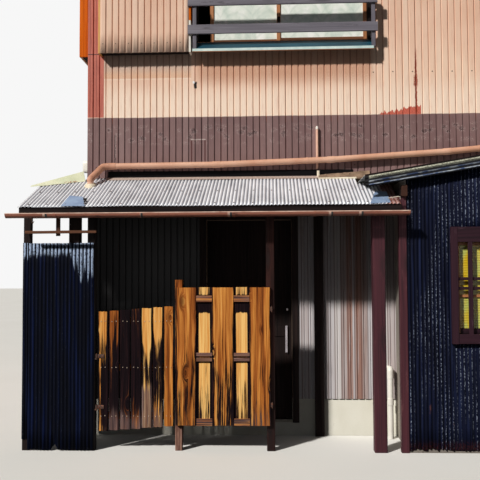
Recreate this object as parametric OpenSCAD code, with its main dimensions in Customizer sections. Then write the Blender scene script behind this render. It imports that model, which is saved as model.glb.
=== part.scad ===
// Small two-storey townhouse with a lean-to porch, gates and a side bay.
// All lengths are millimetres. X runs along the street, Y into the house, Z up.
// Each module draws in street coordinates: X = 0 at the left corner of the upper storey,
// Y = 0 at the face of its cladding and Z = 0 at the ground. placed() then moves the
// whole house so that its origin is at the bottom centre of its box.

/* [House] */
// Width of the house from the left cladding to the party wall
house_w = 4665; // [4500:5200]
// Depth of the house from cladding to cladding
house_d = 5574; // [5000:6600]
// Thickness of the outer walls
wall_t = 120; // [100:140]
// Height of the concrete plinth
plinth_h = 337; // [250:400]
// Thickness of the ground floor slab
floor_t = 120; // [80:160]
// Height at which the upper walls start
upper_wall_z = 2200; // [2150:2250]
// Height of the upper floor boards
upper_floor_z = 2750; // [2700:2850]
// Thickness of the upper floor with its joists
upper_floor_t = 150; // [100:200]
// Height of the wall tops under the main eaves
eave_z = 5050; // [4950:5300]
// Slope of the main roof in degrees
roof_pitch = 24; // [18:30]
// How far the main roof passes the front and rear walls
eave_out = 420; // [300:500]
// How far the main roof passes the left gable
gable_out = 260; // [200:350]

/* [Sheet metal] */
// Thickness given to every metal sheet
sheet_t = 3; // [2:4]
// Pitch of the small corrugation
wave_pitch = 31.8; // [28:38]
// Depth of the small corrugation
wave_d = 9; // [6:10]
// Pitch of the large corrugation on the main roof
big_wave_pitch = 76; // [63:90]
// Depth of the large corrugation
big_wave_d = 18; // [14:20]
// Pitch of the ribs of the wall cladding
rib_pitch = 61; // [55:75]
// Depth of the ribs of the wall cladding
rib_d = 10; // [6:12]
// Width of the groove between two ribs
rib_groove = 14; // [10:20]

/* [Front window] */
// Gap between a shutter box and the window opening beside it
win_gap = 15; // [10:30]
// Width of the front window opening
win_w = 1684; // [1500:1800]
// Height of the window sills upstairs
win_z = 3622; // [3580:3700]
// Height of the window openings upstairs
win_h = 1030; // [900:1100]
// Width of a window frame member
win_frame = 40; // [30:50]
// Width of a sash member
sash_frame = 45; // [35:55]
// Height of a balustrade board
rail_h = 88; // [70:100]
// Gap between the front of the shutter box and the balustrade boards
rail_gap = 2; // [1:10]
// How far the balustrade boards pass the front shutter box's edge
rail_lap = 28; // [0:60]
// How far the balustrade boards pass the window opening
rail_past = 37; // [0:60]
// Height of the lower balustrade board above the sill
rail_low = 110; // [100:160]
// Rise from the lower to the upper balustrade board
rail_rise = 266; // [220:300]
// Width of a balustrade post
rail_post = 35; // [30:45]

/* [Shutter boxes] */
// Distance of a shutter box from the corner of the house
box_x = 125; // [100:160]
// Width of a shutter box
box_w = 876; // [780:880]
// Height of the bottom of the front shutter box
box_z = 3570; // [3540:3600]
// Height of the bottom of the side shutter box
side_box_z = 3612; // [3560:3640]
// Height of a shutter box
box_h = 1140; // [1100:1250]
// How far the front shutter box stands out
box_out = 110; // [90:120]
// How far the side shutter box stands out
side_box_out = 116; // [90:130]

/* [Lean-to] */
// How far the sheet of the lean-to stands out of the wall
lean_out = 760; // [730:800]
// Height of the lean-to sheet at its eave
lean_eave_z = 2060; // [2040:2080]
// Height of the lean-to sheet at the wall
lean_top_z = 2391; // [2380:2420]
// Left end of the lean-to sheet, left of the house corner
lean_left = 400; // [350:450]
// Width and height of a lean-to rafter
rafter = 45; // [38:50]
// Height and width of the eave beam
beam = 90; // [80:100]
// Distance from the wall face to the front of the posts
post_line = 620; // [600:640]
// Outer radius of the lean-to gutter
gutter_r = 36; // [30:42]
// Left end of the lean-to gutter, left of the house corner
gutter_left = 482; // [460:560]
// Distance between two gutter brackets
bracket_pitch = 790; // [600:900]

/* [Left screen] */
// Left edge of the wide screen sheet, left of the house corner
screen_left = 350; // [320:360]
// Width of the wide screen sheet
screen_w = 572; // [500:580]
// Height of the screen
screen_h = 1768; // [1600:1800]
// Width of the narrow screen strip
strip_w = 44; // [40:46]
// Height of the screen strip's lower edge above the ground
strip_z = 95; // [60:150]
// Height of the batten that hangs under the lean-to
hang_z = 1841; // [1820:1850]

/* [Porch posts] */
// Left side of the porch post
porch_post_x = 2595; // [2560:2620]
// Width of the porch post
porch_post_w = 105; // [90:120]

/* [Gates] */
// Left side of the board gate
leaf_x = 259; // [255:265]
// Width of the board gate
leaf_w = 646; // [620:650]
// Height of the board gate's lower edge at its hinge side
leaf_z = 160; // [140:200]
// Height of the boards
leaf_h = 1020; // [950:1100]
// How much the board gate rises towards its free side
leaf_rise = 42; // [0:60]
// Number of boards in the board gate
leaf_boards = 7; // [6:8]
// Gap between two boards
board_gap = 10; // [8:20]
// Left side of the panelled gate
panel_gate_x = 925; // [922:930]
// Width of the panelled gate
panel_gate_w = 804; // [780:810]
// Height of the panelled gate's lower edge
panel_gate_z = 215; // [180:250]
// Height of the panelled gate
panel_gate_h = 1166; // [1100:1200]
// Thickness of the panelled gate
panel_gate_t = 30; // [26:34]
// Width of one of the two recessed columns of the panelled gate
recess_w = 137; // [120:150]
// Running gap round the gates and the door
gate_gap = 6; // [5:8]
// Radius of a hinge pin
pin_r = 4; // [3:4.5]
// Radial clearance of a hinge pin in its eye
pin_clear = 0.3; // [0.2:0.5]

/* [Entrance] */
// Left side of the entrance
door_x = 1130; // [1100:1150]
// Width of the entrance
door_w = 800; // [760:820]
// Height of the entrance above the slab
door_h = 1880; // [1800:1950]
// Thickness of the sliding door
door_t = 36; // [30:40]

/* [Side bay] */
// Left face of the side bay
bay_x = 2817; // [2800:2830]
// Width of the corner post of the side bay
bay_corner = 64; // [60:75]
// Slope of the bay roof in height over run
bay_slope = 0.165; // [0.12:0.2]
// Left end of the bay roof
bay_roof_x = 2530; // [2500:2560]
// Height of the bay roof's verge bottom at its left end
bay_roof_z = 2232; // [2225:2245]
// Depth of the verge of the bay roof
verge_h = 90; // [80:100]
// How far the bay roof stands out past the post line
verge_out = 80; // [60:100]
// Thickness of the bay walls
bay_wall_t = 60; // [50:70]
// Left side of the bay window opening
bay_win_x = 3254; // [3230:3280]
// Distance from the bay window opening to the party wall side
bay_win_right = 370; // [330:450]
// Height of the bay window's sill
bay_win_z = 900; // [850:950]
// Height of the bay window opening
bay_win_h = 985; // [900:1000]
// Distance between two upright bars of the bay window
bar_pitch = 139; // [110:150]

/* [Pipes] */
// Outer radius of the drain pipe on the wall
drain_r = 29; // [25:32]
// Height of the drain pipe at its lower elbow
drain_low_z = 2508; // [2506:2530]
// Fall of the drain pipe in height over run
drain_fall = 0.0461; // [0.04:0.05]
// How far the drain pipe sags in the middle
drain_sag = 57; // [0:60]
// Number of lengths that the drain pipe is joined from
drain_lengths = 4; // [3:5]
// Radius of the white pipe in the porch
white_pipe_r = 25; // [20:28]
// Height of the white pipe's upper elbow
white_pipe_z = 620; // [560:680]
// Left side of the conduit on the upper wall
conduit_x = 2165; // [2100:2200]
// Width of the conduit
conduit_w = 30; // [20:32]
// Length of the conduit
conduit_h = 395; // [350:420]
// Height of the rounded fitting behind the corner
fitting_h = 110; // [80:120]

/* [Hidden] */
$fn = 32;

// two pieces that only rest on each other are this far apart
seat = 0.3;
// a cutting body passes the surfaces that it cuts by this much
cut = 50;
far = 9000;

clad_d = rib_d + sheet_t;
wall_in = clad_d + wall_t;
rear_y = house_d - clad_d;
mid_depth = house_d / 2;
clad_z = lean_top_z + 12;
win_x = box_x + box_w + win_gap;
bay_win_w = house_w - bay_win_right - bay_win_x;

lean_slope = (lean_top_z - lean_eave_z) / lean_out;
lean_angle = atan(lean_slope);
lean_run = lean_out / cos(lean_angle);
lean_right = bay_x - 3;
wave_h = wave_d + sheet_t;
crest_lift = wave_h / cos(lean_angle);

fascia_t = 18;
fascia_y = -lean_out + 12;
beam_front = -post_line + 10;
beam_top = lean_z(beam_front) - rafter / cos(lean_angle);
beam_z = beam_top - beam;
gutter_y = -lean_out - gutter_r;
gutter_z = lean_eave_z - 56;

bay_side_x = bay_x + bay_corner + 4;
bay_post_h = bay_roof_z - 92;
bay_front = -post_line;
bay_wall_y = bay_front + wave_h;
purlin = 60;
purlin_w = 45;
verge_y = -post_line - verge_out;
verge_t = 20;

roof_tan = tan(roof_pitch);
roof_cos = cos(roof_pitch);
clad_top = roof_line(0) - seat;
rafter_h = 80;
rafter_w = 45;
deck_t = 12;
deck_z = (rafter_h + deck_t) / roof_cos;
main_r = 50;
main_gutter_y = -eave_out - fascia_t - main_r - 4;
main_gutter_z = roof_line(-eave_out) - 30;

origin_x = (house_w - gutter_left) / 2;
origin_y = (gutter_y - gutter_r + house_d - main_gutter_y + main_r) / 2;

door_head = floor_t + door_h;
door_lap = 20;
door_leaf_y = wall_in + gate_gap;
rail_top = floor_t + 12;
door_lift = 8;

leaf_y = -600;
board_t = 15;
batten_t = 28;
strap_t = 4;
eye_h = 34;
eye_r = 9;
leaf_pin_x = leaf_x - 14;
leaf_pin_y = leaf_y - strap_t / 2;
leaf_hinges = [leaf_z + 190, leaf_z + 620];
panel_right = panel_gate_x + panel_gate_w;
panel_pin_x = panel_right + 12;
panel_pin_y = -post_line + 6;
panel_hinges = [panel_gate_z + 160, panel_gate_z + panel_gate_h - 200];
post_face = -post_line + panel_gate_t + gate_gap;
post_t = 70;

// height of the lean-to sheet's underside above the line y
function lean_z(y) = lean_top_z + y * lean_slope;
// height of the wall tops under the slopes of the main roof
function roof_line(y) = eave_z + (mid_depth - clad_d - abs(y - mid_depth)) * roof_tan;
// height of the bay roof sheet's underside above the line x
function bay_z(x) = bay_roof_z + verge_h - wave_h + (x - bay_roof_x) * bay_slope;

module placed() {
    translate([-origin_x, -origin_y, 0]) children();
}

// a block from its low corner to its high corner
module block(low, high) {
    translate(low) cube(high - low);
}

// the outline of one side of a corrugated sheet: flat crests and troughs, sloping sides
function wave_side(count, pitch, depth, lift) = [
    for (i = [0 : count - 1])
        for (k = [[0, 0], [0.25, 0], [0.5, 1], [0.75, 1]])
            [(i + k[0]) * pitch, k[1] * depth + lift]
];
function reversed(v) = [for (i = [len(v) - 1 : -1 : 0]) v[i]];

module wave_outline(width, pitch, depth) {
    count = ceil(width / pitch);
    under = wave_side(count, pitch, depth, 0);
    over = wave_side(count, pitch, depth, sheet_t);
    intersection() {
        polygon(concat(under, [[count * pitch, 0], [count * pitch, sheet_t]], reversed(over)));
        translate([0, -cut]) square([width, depth + 2 * cut]);
    }
}

// a corrugated sheet that lies flat: waves side by side along X, length along Y
module lying_sheet(width, length, pitch, depth) {
    translate([0, length, 0]) rotate([90, 0, 0])
        linear_extrude(length) wave_outline(width, pitch, depth);
}

// a corrugated sheet that stands on edge with its crests towards -Y, front at Y = 0
module standing_sheet(width, height, pitch, depth) {
    translate([0, depth + sheet_t, 0]) mirror([0, 1, 0])
        linear_extrude(height) wave_outline(width, pitch, depth);
}

// the outline of one side of ribbed cladding: wide ribs with a narrow groove between them
function rib_side(count, lift) = [
    for (i = [0 : count - 1])
        for (k = [[0, rib_d], [rib_pitch - rib_groove, rib_d],
                  [rib_pitch - rib_groove * 0.7, 0], [rib_pitch - rib_groove * 0.3, 0]])
            [i * rib_pitch + k[0], k[1] + lift]
];

module rib_outline(width) {
    count = ceil(width / rib_pitch);
    under = rib_side(count, 0);
    over = rib_side(count, sheet_t);
    intersection() {
        polygon(concat(under, [[count * rib_pitch, rib_d], [count * rib_pitch, clad_d]],
                       reversed(over)));
        translate([0, -cut]) square([width, rib_d + 2 * cut]);
    }
}

// ribbed cladding that stands on edge with its ribs towards -Y, front at Y = 0
module ribbed_sheet(width, height) {
    translate([0, clad_d, 0]) mirror([0, 1, 0])
        linear_extrude(height) rib_outline(width);
}

module ground_floor() {
    color("darkgray") {
        block([wall_in, wall_in, 0], [house_w - wall_t, rear_y - wall_t, floor_t]);
        block([bay_side_x + bay_wall_t, bay_wall_y + bay_wall_t, 0],
              [house_w - bay_wall_t, clad_d, floor_t]);
    }
}

module foundation() {
    color("beige") difference() {
        block([clad_d, clad_d, 0], [house_w, rear_y, plinth_h]);
        block([wall_in, wall_in, -cut], [house_w - wall_t, rear_y - wall_t, plinth_h + cut]);
        block([door_x, -cut, floor_t], [door_x + door_w, wall_in + cut, plinth_h + cut]);
        block([bay_side_x + bay_wall_t, -cut, floor_t],
              [house_w - wall_t, wall_in + cut, plinth_h + cut]);
    }
}

module porch_wall_left() {
    color("dimgray")
        block([clad_d, clad_d, plinth_h], [door_x, wall_in, upper_wall_z]);
}

module porch_wall_right() {
    color("dimgray")
        block([door_x + door_w, clad_d, plinth_h], [bay_side_x + bay_wall_t, wall_in, upper_wall_z]);
}

module porch_wall_over_door() {
    color("dimgray")
        block([door_x, clad_d, door_head], [door_x + door_w, wall_in, upper_wall_z]);
}

module upper_front_wall() {
    color("rosybrown") difference() {
        block([clad_d, clad_d, upper_wall_z], [house_w, wall_in, eave_z]);
        block([win_x, -cut, win_z], [win_x + win_w, wall_in + cut, win_z + win_h]);
    }
}

// a gable wall between the front and rear walls, up to the slopes of the roof
module gable_wall(x, z) {
    y0 = wall_in;
    y1 = rear_y - wall_t;
    translate([x, 0, 0]) rotate([90, 0, 90]) linear_extrude(wall_t)
        polygon([[y0, z], [y1, z], [y1, roof_line(y1)],
                 [mid_depth, roof_line(mid_depth)], [y0, roof_line(y0)]]);
}

module left_wall() {
    color("rosybrown") difference() {
        gable_wall(clad_d, plinth_h);
        block([-cut, win_x, win_z], [wall_in + cut, win_x + win_w, win_z + win_h]);
    }
}

module party_wall() {
    color("dimgray") gable_wall(house_w - wall_t, plinth_h);
}

rear_win_x = house_w - win_x - win_w;
// how far the window frames stand out of the cladding
frame_out = 15;
rear_sills = [1100, win_z];

module rear_wall() {
    color("rosybrown") difference() {
        block([clad_d, rear_y - wall_t, plinth_h], [house_w, rear_y, eave_z]);
        for (z = rear_sills)
            block([rear_win_x, rear_y - wall_t - cut, z],
                  [rear_win_x + win_w, rear_y + cut, z + win_h]);
    }
}

module upper_floor() {
    board = 30;
    joist_w = 60;
    joist_gap = 455;
    color("burlywood") {
        block([wall_in, wall_in, upper_floor_z - board],
              [house_w - wall_t, rear_y - wall_t, upper_floor_z]);
        for (x = [wall_in + joist_gap / 2 : joist_gap : house_w - wall_t - joist_w])
            block([x, wall_in, upper_floor_z - upper_floor_t],
                  [x + joist_w, rear_y - wall_t, upper_floor_z - board]);
    }
}

module front_cladding() {
    color("peachpuff") difference() {
        translate([0, 0, clad_z]) ribbed_sheet(house_w, clad_top - clad_z);
        block([win_x, -cut, win_z], [win_x + win_w, cut, win_z + win_h]);
    }
}

module left_cladding() {
    y0 = clad_d;
    y1 = rear_y;
    color("peachpuff") difference() {
        translate([0, y1, plinth_h]) rotate([0, 0, -90])
            ribbed_sheet(y1 - y0, roof_line(mid_depth) - plinth_h);
        translate([-cut, 0, 0]) rotate([90, 0, 90]) linear_extrude(3 * cut)
            polygon([[-cut, roof_line(-cut)], [mid_depth, roof_line(mid_depth)],
                     [house_d + cut, roof_line(house_d + cut)],
                     [house_d + cut, far], [-cut, far]]);
        block([-cut, win_x, win_z], [cut, win_x + win_w, win_z + win_h]);
    }
}

module rear_cladding() {
    color("peachpuff") difference() {
        translate([house_w, house_d, plinth_h]) rotate([0, 0, 180])
            ribbed_sheet(house_w, clad_top - plinth_h);
        for (z = rear_sills)
            block([rear_win_x, rear_y - cut, z], [rear_win_x + win_w, house_d + cut, z + win_h]);
    }
}

module galvanised_sheets() {
    top = upper_wall_z - 10;
    jamb = 60;
    color("silver") {
        translate([clad_d, 0, plinth_h])
            ribbed_sheet(door_x - jamb - clad_d, top - plinth_h);
        translate([door_x + door_w + jamb, 0, plinth_h])
            ribbed_sheet(bay_side_x - door_x - door_w - jamb - seat, top - plinth_h);
    }
}

module door_frame() {
    jamb = 60;
    proud = 12;
    door_r = door_x + door_w;
    travel = door_w - 70;
    guide_y = door_leaf_y + door_t / 2;
    track_z = door_head + door_lap + gate_gap;
    post_x = door_r + 205;
    color("saddlebrown") {
        difference() {
            block([door_x - jamb, -proud, floor_t], [door_r + jamb, clad_d, door_head + jamb]);
            block([door_x, -cut, floor_t - cut], [door_r, cut, door_head]);
        }
        block([post_x, -35, 0], [post_x + 85, 0, upper_wall_z - 15]);
        block([door_x - travel, guide_y - 4, floor_t], [door_r + door_lap, guide_y + 4, rail_top]);
        block([door_x - travel, wall_in, track_z],
              [door_r + door_lap, door_leaf_y + door_t + 20, track_z + 30]);
    }
}

module entrance_door() {
    low = rail_top + door_lift;
    high = door_head + door_lap;
    left = door_x - door_lap;
    right = door_x + door_w + door_lap;
    stile = 90;
    color("saddlebrown") {
        difference() {
            block([left, door_leaf_y, low], [right, door_leaf_y + door_t, high]);
            for (z = [[low + stile, low + 760], [low + 760 + stile, high - stile]])
                for (y = [door_leaf_y - cut, door_leaf_y + door_t - 8])
                    block([left + stile, y, z[0]], [right - stile, y + cut + 8, z[1]]);
        }
        for (x = [left + stile, right - stile])
            translate([x, door_leaf_y + door_t / 2 - 6, low + 10 - door_lift + seat])
                rotate([-90, 0, 0]) cylinder(r = 10, h = 12);
    }
}

module door_pull() {
    x = door_x + door_w - 76;
    z0 = floor_t + 630;
    pull_h = 250;
    foot = 15;
    color("gainsboro") {
        block([x, door_leaf_y - 22, z0], [x + 50, door_leaf_y - 12, z0 + pull_h]);
        for (z = [z0 + foot, z0 + pull_h - 2 * foot])
            block([x + foot, door_leaf_y - 12, z], [x + 35, door_leaf_y - seat, z + foot]);
    }
}

// the space above the bay roof's underside, which the lean-to sheet keeps out of
module over_bay_roof() {
    translate([0, cut, 0]) rotate([90, 0, 0]) linear_extrude(lean_out + 4 * cut)
        polygon([[bay_roof_x - 10, bay_z(bay_roof_x - 10) - 2], [house_w, bay_z(house_w) - 2],
                 [house_w, far], [bay_roof_x - 10, far]]);
}

module lean_to_roof() {
    color("lightgray") difference() {
        translate([-lean_left, -lean_out, lean_eave_z]) rotate([lean_angle, 0, 0])
            lying_sheet(lean_left + lean_right, lean_run, wave_pitch, wave_d);
        linear_extrude(far)
            polygon([[-lean_left - cut, -236], [-seat, -30], [-seat, cut], [-lean_left - cut, cut]]);
        over_bay_roof();
    }
}

module lean_to_frame() {
    ledger_h = 80;
    ledger_y = -45;
    ledger_top = lean_z(ledger_y) - 2;
    rafter_end = bay_x - rafter - 5;
    count = 7;
    color("saddlebrown") difference() {
        union() {
            block([-lean_left + 10, beam_front, beam_z], [bay_x - 1, beam_front + beam, beam_top - 1]);
            block([-lean_left + 10, fascia_y, lean_z(fascia_y) - rafter - 12],
                  [bay_x - 1, fascia_y + fascia_t, lean_z(fascia_y) - seat]);
            block([seat, ledger_y, ledger_top - ledger_h - rafter],
                  [bay_x - 1, clad_d, ledger_top - rafter]);
            for (i = [0 : count]) {
                x = -lean_left + 20 + i * (rafter_end + lean_left - 20) / count;
                top_y = x < 0 ? -260 : -seat;
                translate([x, 0, 0]) rotate([90, 0, 90]) linear_extrude(rafter)
                    polygon([[fascia_y + 2, lean_z(fascia_y + 2) - seat],
                             [top_y, lean_z(top_y) - seat],
                             [top_y, lean_z(top_y) - rafter / cos(lean_angle)],
                             [fascia_y + 2, lean_z(fascia_y + 2) - rafter / cos(lean_angle)]]);
            }
        }
        over_bay_roof();
    }
}

module head_flashing() {
    leg = 70;
    up = 60;
    y0 = -sheet_t - seat;
    top = lean_z(0) + crest_lift + seat;
    color("whitesmoke") translate([200, 0, 0]) rotate([90, 0, 90])
        linear_extrude(bay_roof_x - 220)
            polygon([[y0, top + up], [-seat, top + up], [-seat, top],
                     [-leg, lean_z(-leg) + crest_lift + seat],
                     [-leg, lean_z(-leg) + crest_lift + seat + sheet_t],
                     [y0, top + sheet_t]]);
}

module verge_flashing() {
    tip = [-495, -150];
    foot = [-8, -35];
    run = norm(foot - tip);
    rise = lean_z(foot[1]) - lean_z(tip[1]);
    base = lean_z(tip[1]) + crest_lift + seat + 2;
    color("palegreen") translate([tip[0], tip[1], base]) rotate([0, 0, atan2(foot[1] - tip[1], foot[0] - tip[0])])
        rotate([90, 0, 0]) linear_extrude(4)
            polygon([[0, 0], [run, rise], [run, rise + 90], [0, 6]]);
}

// flat repair sheets on the crests: X from the house corner, and length up the slope
module roof_patches() {
    left_patch = [[-36, 2], [163, 2], [72, 294], [5, 294]];
    right_patch = [[29, 22], [199, 22], [217, 355], [118, 355]];
    color("lightsteelblue") translate([0, -lean_out, lean_eave_z]) rotate([lean_angle, 0, 0])
        translate([0, 0, wave_h + seat]) {
            linear_extrude(2) polygon(left_patch);
            translate([bay_roof_x, 0, 0]) linear_extrude(2) polygon(right_patch);
        }
}

// a half-round gutter along X with closed ends
module gutter(length, r) {
    rotate([90, 0, 90]) {
        linear_extrude(length) difference() {
            circle(r);
            circle(r - sheet_t);
            translate([-r - 1, 0]) square([2 * r + 2, r + 1]);
        }
        for (x = [0, length - sheet_t])
            translate([0, 0, x]) linear_extrude(sheet_t) difference() {
                circle(r);
                translate([-r - 1, 0]) square([2 * r + 2, r + 1]);
            }
    }
}

// a strap under a gutter that reaches back to the fascia
module gutter_bracket(r, back) {
    w = 20;
    translate([-w / 2, 0, 0]) rotate([90, 0, 90]) linear_extrude(w) {
        difference() {
            circle(r + sheet_t);
            circle(r);
            translate([-2 * r, 0]) square([4 * r, 2 * r]);
        }
        translate([r, -4]) square([back - r - seat, 8]);
    }
}

module eave_gutter() {
    right = bay_x + bay_corner - 4;
    color("indianred") translate([0, gutter_y, gutter_z]) {
        translate([-gutter_left, 0, 0]) gutter(gutter_left + right, gutter_r);
        for (x = [-gutter_left + 338 : bracket_pitch : right - 100])
            translate([x, 0, 0]) gutter_bracket(gutter_r, fascia_y - gutter_y);
    }
}

conduit_out = 18;
drain_y = -drain_r - conduit_out - 4;
drain_x = 165;
drain_end_x = house_w - 230;
// share of the drain pipe's run at x
function drain_share(x) = (x - drain_x) / (drain_end_x - drain_x);
// height of the drain pipe's axis at x
function drain_z(x) = drain_low_z + (x - drain_x) * drain_fall
    - 4 * drain_sag * drain_share(x) * (1 - drain_share(x));
// the joints of the drain pipe from its upper end down to its lower elbow
drain_joints = [
    for (i = [drain_lengths : -1 : 0])
        let (x = drain_x + i * (drain_end_x - drain_x) / drain_lengths)
            [x, drain_y, drain_z(x)]
];

// how much wider than its pipe a socket or sleeve is
socket = 3;

// a straight length of pipe between two points
module straight(from, to, r) {
    d = to - from;
    translate(from) rotate([0, acos(d[2] / norm(d)), atan2(d[1], d[0])]) cylinder(r = r, h = norm(d));
}

// a pipe along a list of points: straight lengths with a round socket at each elbow
module pipe(points, r) {
    for (i = [0 : len(points) - 2]) {
        if (i > 0) translate(points[i]) sphere(r + socket);
        straight(points[i], points[i + 1], r);
    }
}

module drain_pipe() {
    mouth = [85, -215, lean_z(-215) + 70];
    sleeve = 35;
    last = drain_lengths - 1;
    color("indianred") {
        for (i = [0 : last - 1]) {
            from = drain_joints[i];
            to = drain_joints[i + 1];
            ahead = (to - from) / norm(to - from) * sleeve;
            straight(from, to, drain_r);
            straight(to - ahead, to + ahead, drain_r + socket);
        }
        pipe([drain_joints[last], drain_joints[last + 1], mouth, mouth - [0, 0, 45]], drain_r);
        for (x = [drain_x + 335 : bracket_pitch : drain_end_x - 100])
            block([x - 12, drain_y - drain_r - 4, drain_z(x) - 6], [x + 12, -seat, drain_z(x) + 6]);
    }
}

module wall_fittings() {
    conduit_z = clad_z + 72;
    fitting = [34, 90, fitting_h];
    color("lightgray") {
        block([conduit_x, -conduit_out, conduit_z], [conduit_x + conduit_w, -seat, conduit_z + conduit_h]);
        translate([-fitting[0], 60, conduit_z - 5]) cube(fitting - [seat, 0, 0]);
    }
}

module white_pipe() {
    x = bay_x - 5;
    y = -100;
    color("white")
        pipe([[x, -seat, white_pipe_z], [x, y, white_pipe_z], [x, y, 0]], white_pipe_r);
}

module left_bay_sheet() {
    color("midnightblue") {
        translate([-screen_left, -post_line, 0])
            standing_sheet(screen_w, screen_h, wave_pitch, wave_d);
        translate([-screen_left - strip_w - 4, -post_line, strip_z])
            standing_sheet(strip_w, screen_h - strip_z, wave_pitch, wave_d);
    }
}

module left_bay_frame() {
    back = -post_line + wave_h + seat;
    hang_y = fascia_y + fascia_t + seat;
    side_post = 60;
    left = -screen_left - strip_w - 1;
    rail_x = left + side_post;
    batten = 24;
    color("saddlebrown") {
        block([left, back, 0], [rail_x, back + side_post, beam_z]);
        block([0, back, 0], [90, back + 90, beam_z]);
        for (z = [screen_h * 0.17, screen_h * 0.57, screen_h * 0.93])
            block([rail_x, back, z], [0, back + 40, z + 40]);
        block([rail_x, hang_y - batten, hang_z], [screen_w - screen_left + 50, hang_y, hang_z + batten]);
        block([-77, hang_y, hang_z - 20], [-44, hang_y + 22, lean_z(fascia_y) - 20]);
    }
}

module gate_posts() {
    color("saddlebrown") {
        block([165, -post_line + wave_h + seat, 0], [leaf_x - 29, leaf_y + post_t, beam_z]);
        block([panel_gate_x - 9, post_face, 0], [panel_gate_x + 52, post_face + post_t, 1444]);
    }
}

module tall_post() {
    color("saddlebrown")
        block([panel_right - 34, post_face, 0], [panel_right + 36, post_face + post_t, beam_z]);
}

module porch_posts() {
    color("brown") {
        block([porch_post_x, -post_line, 0],
              [porch_post_x + porch_post_w, -post_line + porch_post_w, beam_z]);
        block([bay_x, -post_line, 0], [bay_x + bay_corner, -post_line + bay_corner, bay_post_h]);
    }
}

// a pin that stands on an arm fixed to a post; the hinge eye drops over it
module pintle(pin, arm_low, arm_high) {
    translate([pin[0], pin[1], pin[2] - seat]) {
        cylinder(r = pin_r, h = eye_h + 6);
    }
    block([arm_low[0], arm_low[1], pin[2] - seat - 10], [arm_high[0], arm_high[1], pin[2] - seat]);
}

module gate_pintles() {
    color("dimgray") {
        for (z = leaf_hinges)
            pintle([leaf_pin_x, leaf_pin_y, z],
                   [leaf_x - 29 + seat, leaf_pin_y - 5], [leaf_pin_x + 5, leaf_pin_y + 5]);
        for (z = panel_hinges)
            pintle([panel_pin_x, panel_pin_y, z],
                   [panel_pin_x - 4, panel_pin_y - 4], [panel_pin_x + 4, post_face - seat]);
    }
}

module board_gate() {
    board_w = (leaf_w - (leaf_boards - 1) * board_gap) / leaf_boards;
    color("peru") {
        for (i = [0 : leaf_boards - 1]) {
            rise = leaf_rise * i / (leaf_boards - 1);
            x = leaf_x + i * (board_w + board_gap);
            block([x, leaf_y, leaf_z + rise], [x + board_w, leaf_y + board_t, leaf_z + leaf_h + rise]);
        }
        for (z = [leaf_z + 170, leaf_z + 620, leaf_z + 890])
            block([leaf_x + 26, leaf_y + board_t, z],
                  [leaf_x + leaf_w, leaf_y + board_t + batten_t, z + 60]);
        for (z = leaf_hinges) difference() {
            union() {
                block([leaf_pin_x, leaf_y - strap_t, z], [leaf_x + 220, leaf_y, z + eye_h]);
                translate([leaf_pin_x, leaf_pin_y, z]) cylinder(r = eye_r, h = eye_h);
            }
            translate([leaf_pin_x, leaf_pin_y, z - cut])
                cylinder(r = pin_r + pin_clear, h = eye_h + 2 * cut);
        }
    }
}

module panel_gate() {
    x0 = panel_gate_x;
    y0 = -post_line;
    z0 = panel_gate_z;
    z1 = z0 + panel_gate_h;
    side = (panel_gate_w - 2 * recess_w - 181) / 2;
    recesses = [x0 + side, panel_right - side - recess_w];
    color("peru") {
        difference() {
            block([x0, y0, z0], [panel_right, y0 + panel_gate_t, z1]);
            for (x = recesses)
                block([x, y0 - cut, z0 + 60], [x + recess_w, y0 + panel_gate_t / 2, z1 + cut]);
        }
        for (x = recesses)
            for (z = [z1 - 125, z0 + 583, z0 + 540])
                block([x, y0 - 4, z], [x + recess_w, y0 + panel_gate_t / 2, z + (z > z1 - 200 ? 50 : 30)]);
        for (z = panel_hinges) difference() {
            union() {
                block([panel_right, panel_pin_y - 3, z], [panel_pin_x, panel_pin_y + 3, z + eye_h]);
                translate([panel_pin_x, panel_pin_y, z]) cylinder(r = eye_r - 2, h = eye_h);
            }
            translate([panel_pin_x, panel_pin_y, z - cut])
                cylinder(r = pin_r + pin_clear, h = eye_h + 2 * cut);
        }
    }
}

module bay_walls() {
    y0 = bay_wall_y;
    y1 = clad_d - seat;
    color("dimgray") difference() {
        intersection() {
            difference() {
                block([bay_side_x, y0, 0], [house_w, y1, far]);
                block([bay_side_x + bay_wall_t, y0 + bay_wall_t, -cut],
                      [house_w - bay_wall_t, y1 + cut, far + cut]);
            }
            translate([0, cut, 0]) rotate([90, 0, 0]) linear_extrude(post_line + 2 * cut)
                polygon([[bay_side_x, 0], [house_w, 0], [house_w, bay_z(house_w) - purlin - seat],
                         [bay_side_x, bay_z(bay_side_x) - purlin - seat]]);
        }
        block([bay_win_x, y0 - cut, bay_win_z],
              [bay_win_x + bay_win_w, y0 + bay_wall_t + cut, bay_win_z + bay_win_h]);
        block([bay_side_x - cut, -seat, clad_z - seat], [house_w + cut, cut, far]);
    }
}

module bay_sheets() {
    color("midnightblue") difference() {
        intersection() {
            translate([bay_x + bay_corner + seat, bay_front, 0])
                standing_sheet(house_w - bay_x - bay_corner - seat, bay_z(house_w), wave_pitch, wave_d);
            translate([0, cut, 0]) rotate([90, 0, 0]) linear_extrude(post_line + 2 * cut)
                polygon([[bay_x, 0], [house_w, 0], [house_w, bay_z(house_w) - purlin - seat],
                         [bay_x, bay_z(bay_x) - purlin - seat]]);
        }
        block([bay_win_x, bay_front - cut, bay_win_z],
              [bay_win_x + bay_win_w, bay_front + cut, bay_win_z + bay_win_h]);
    }
}

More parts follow.
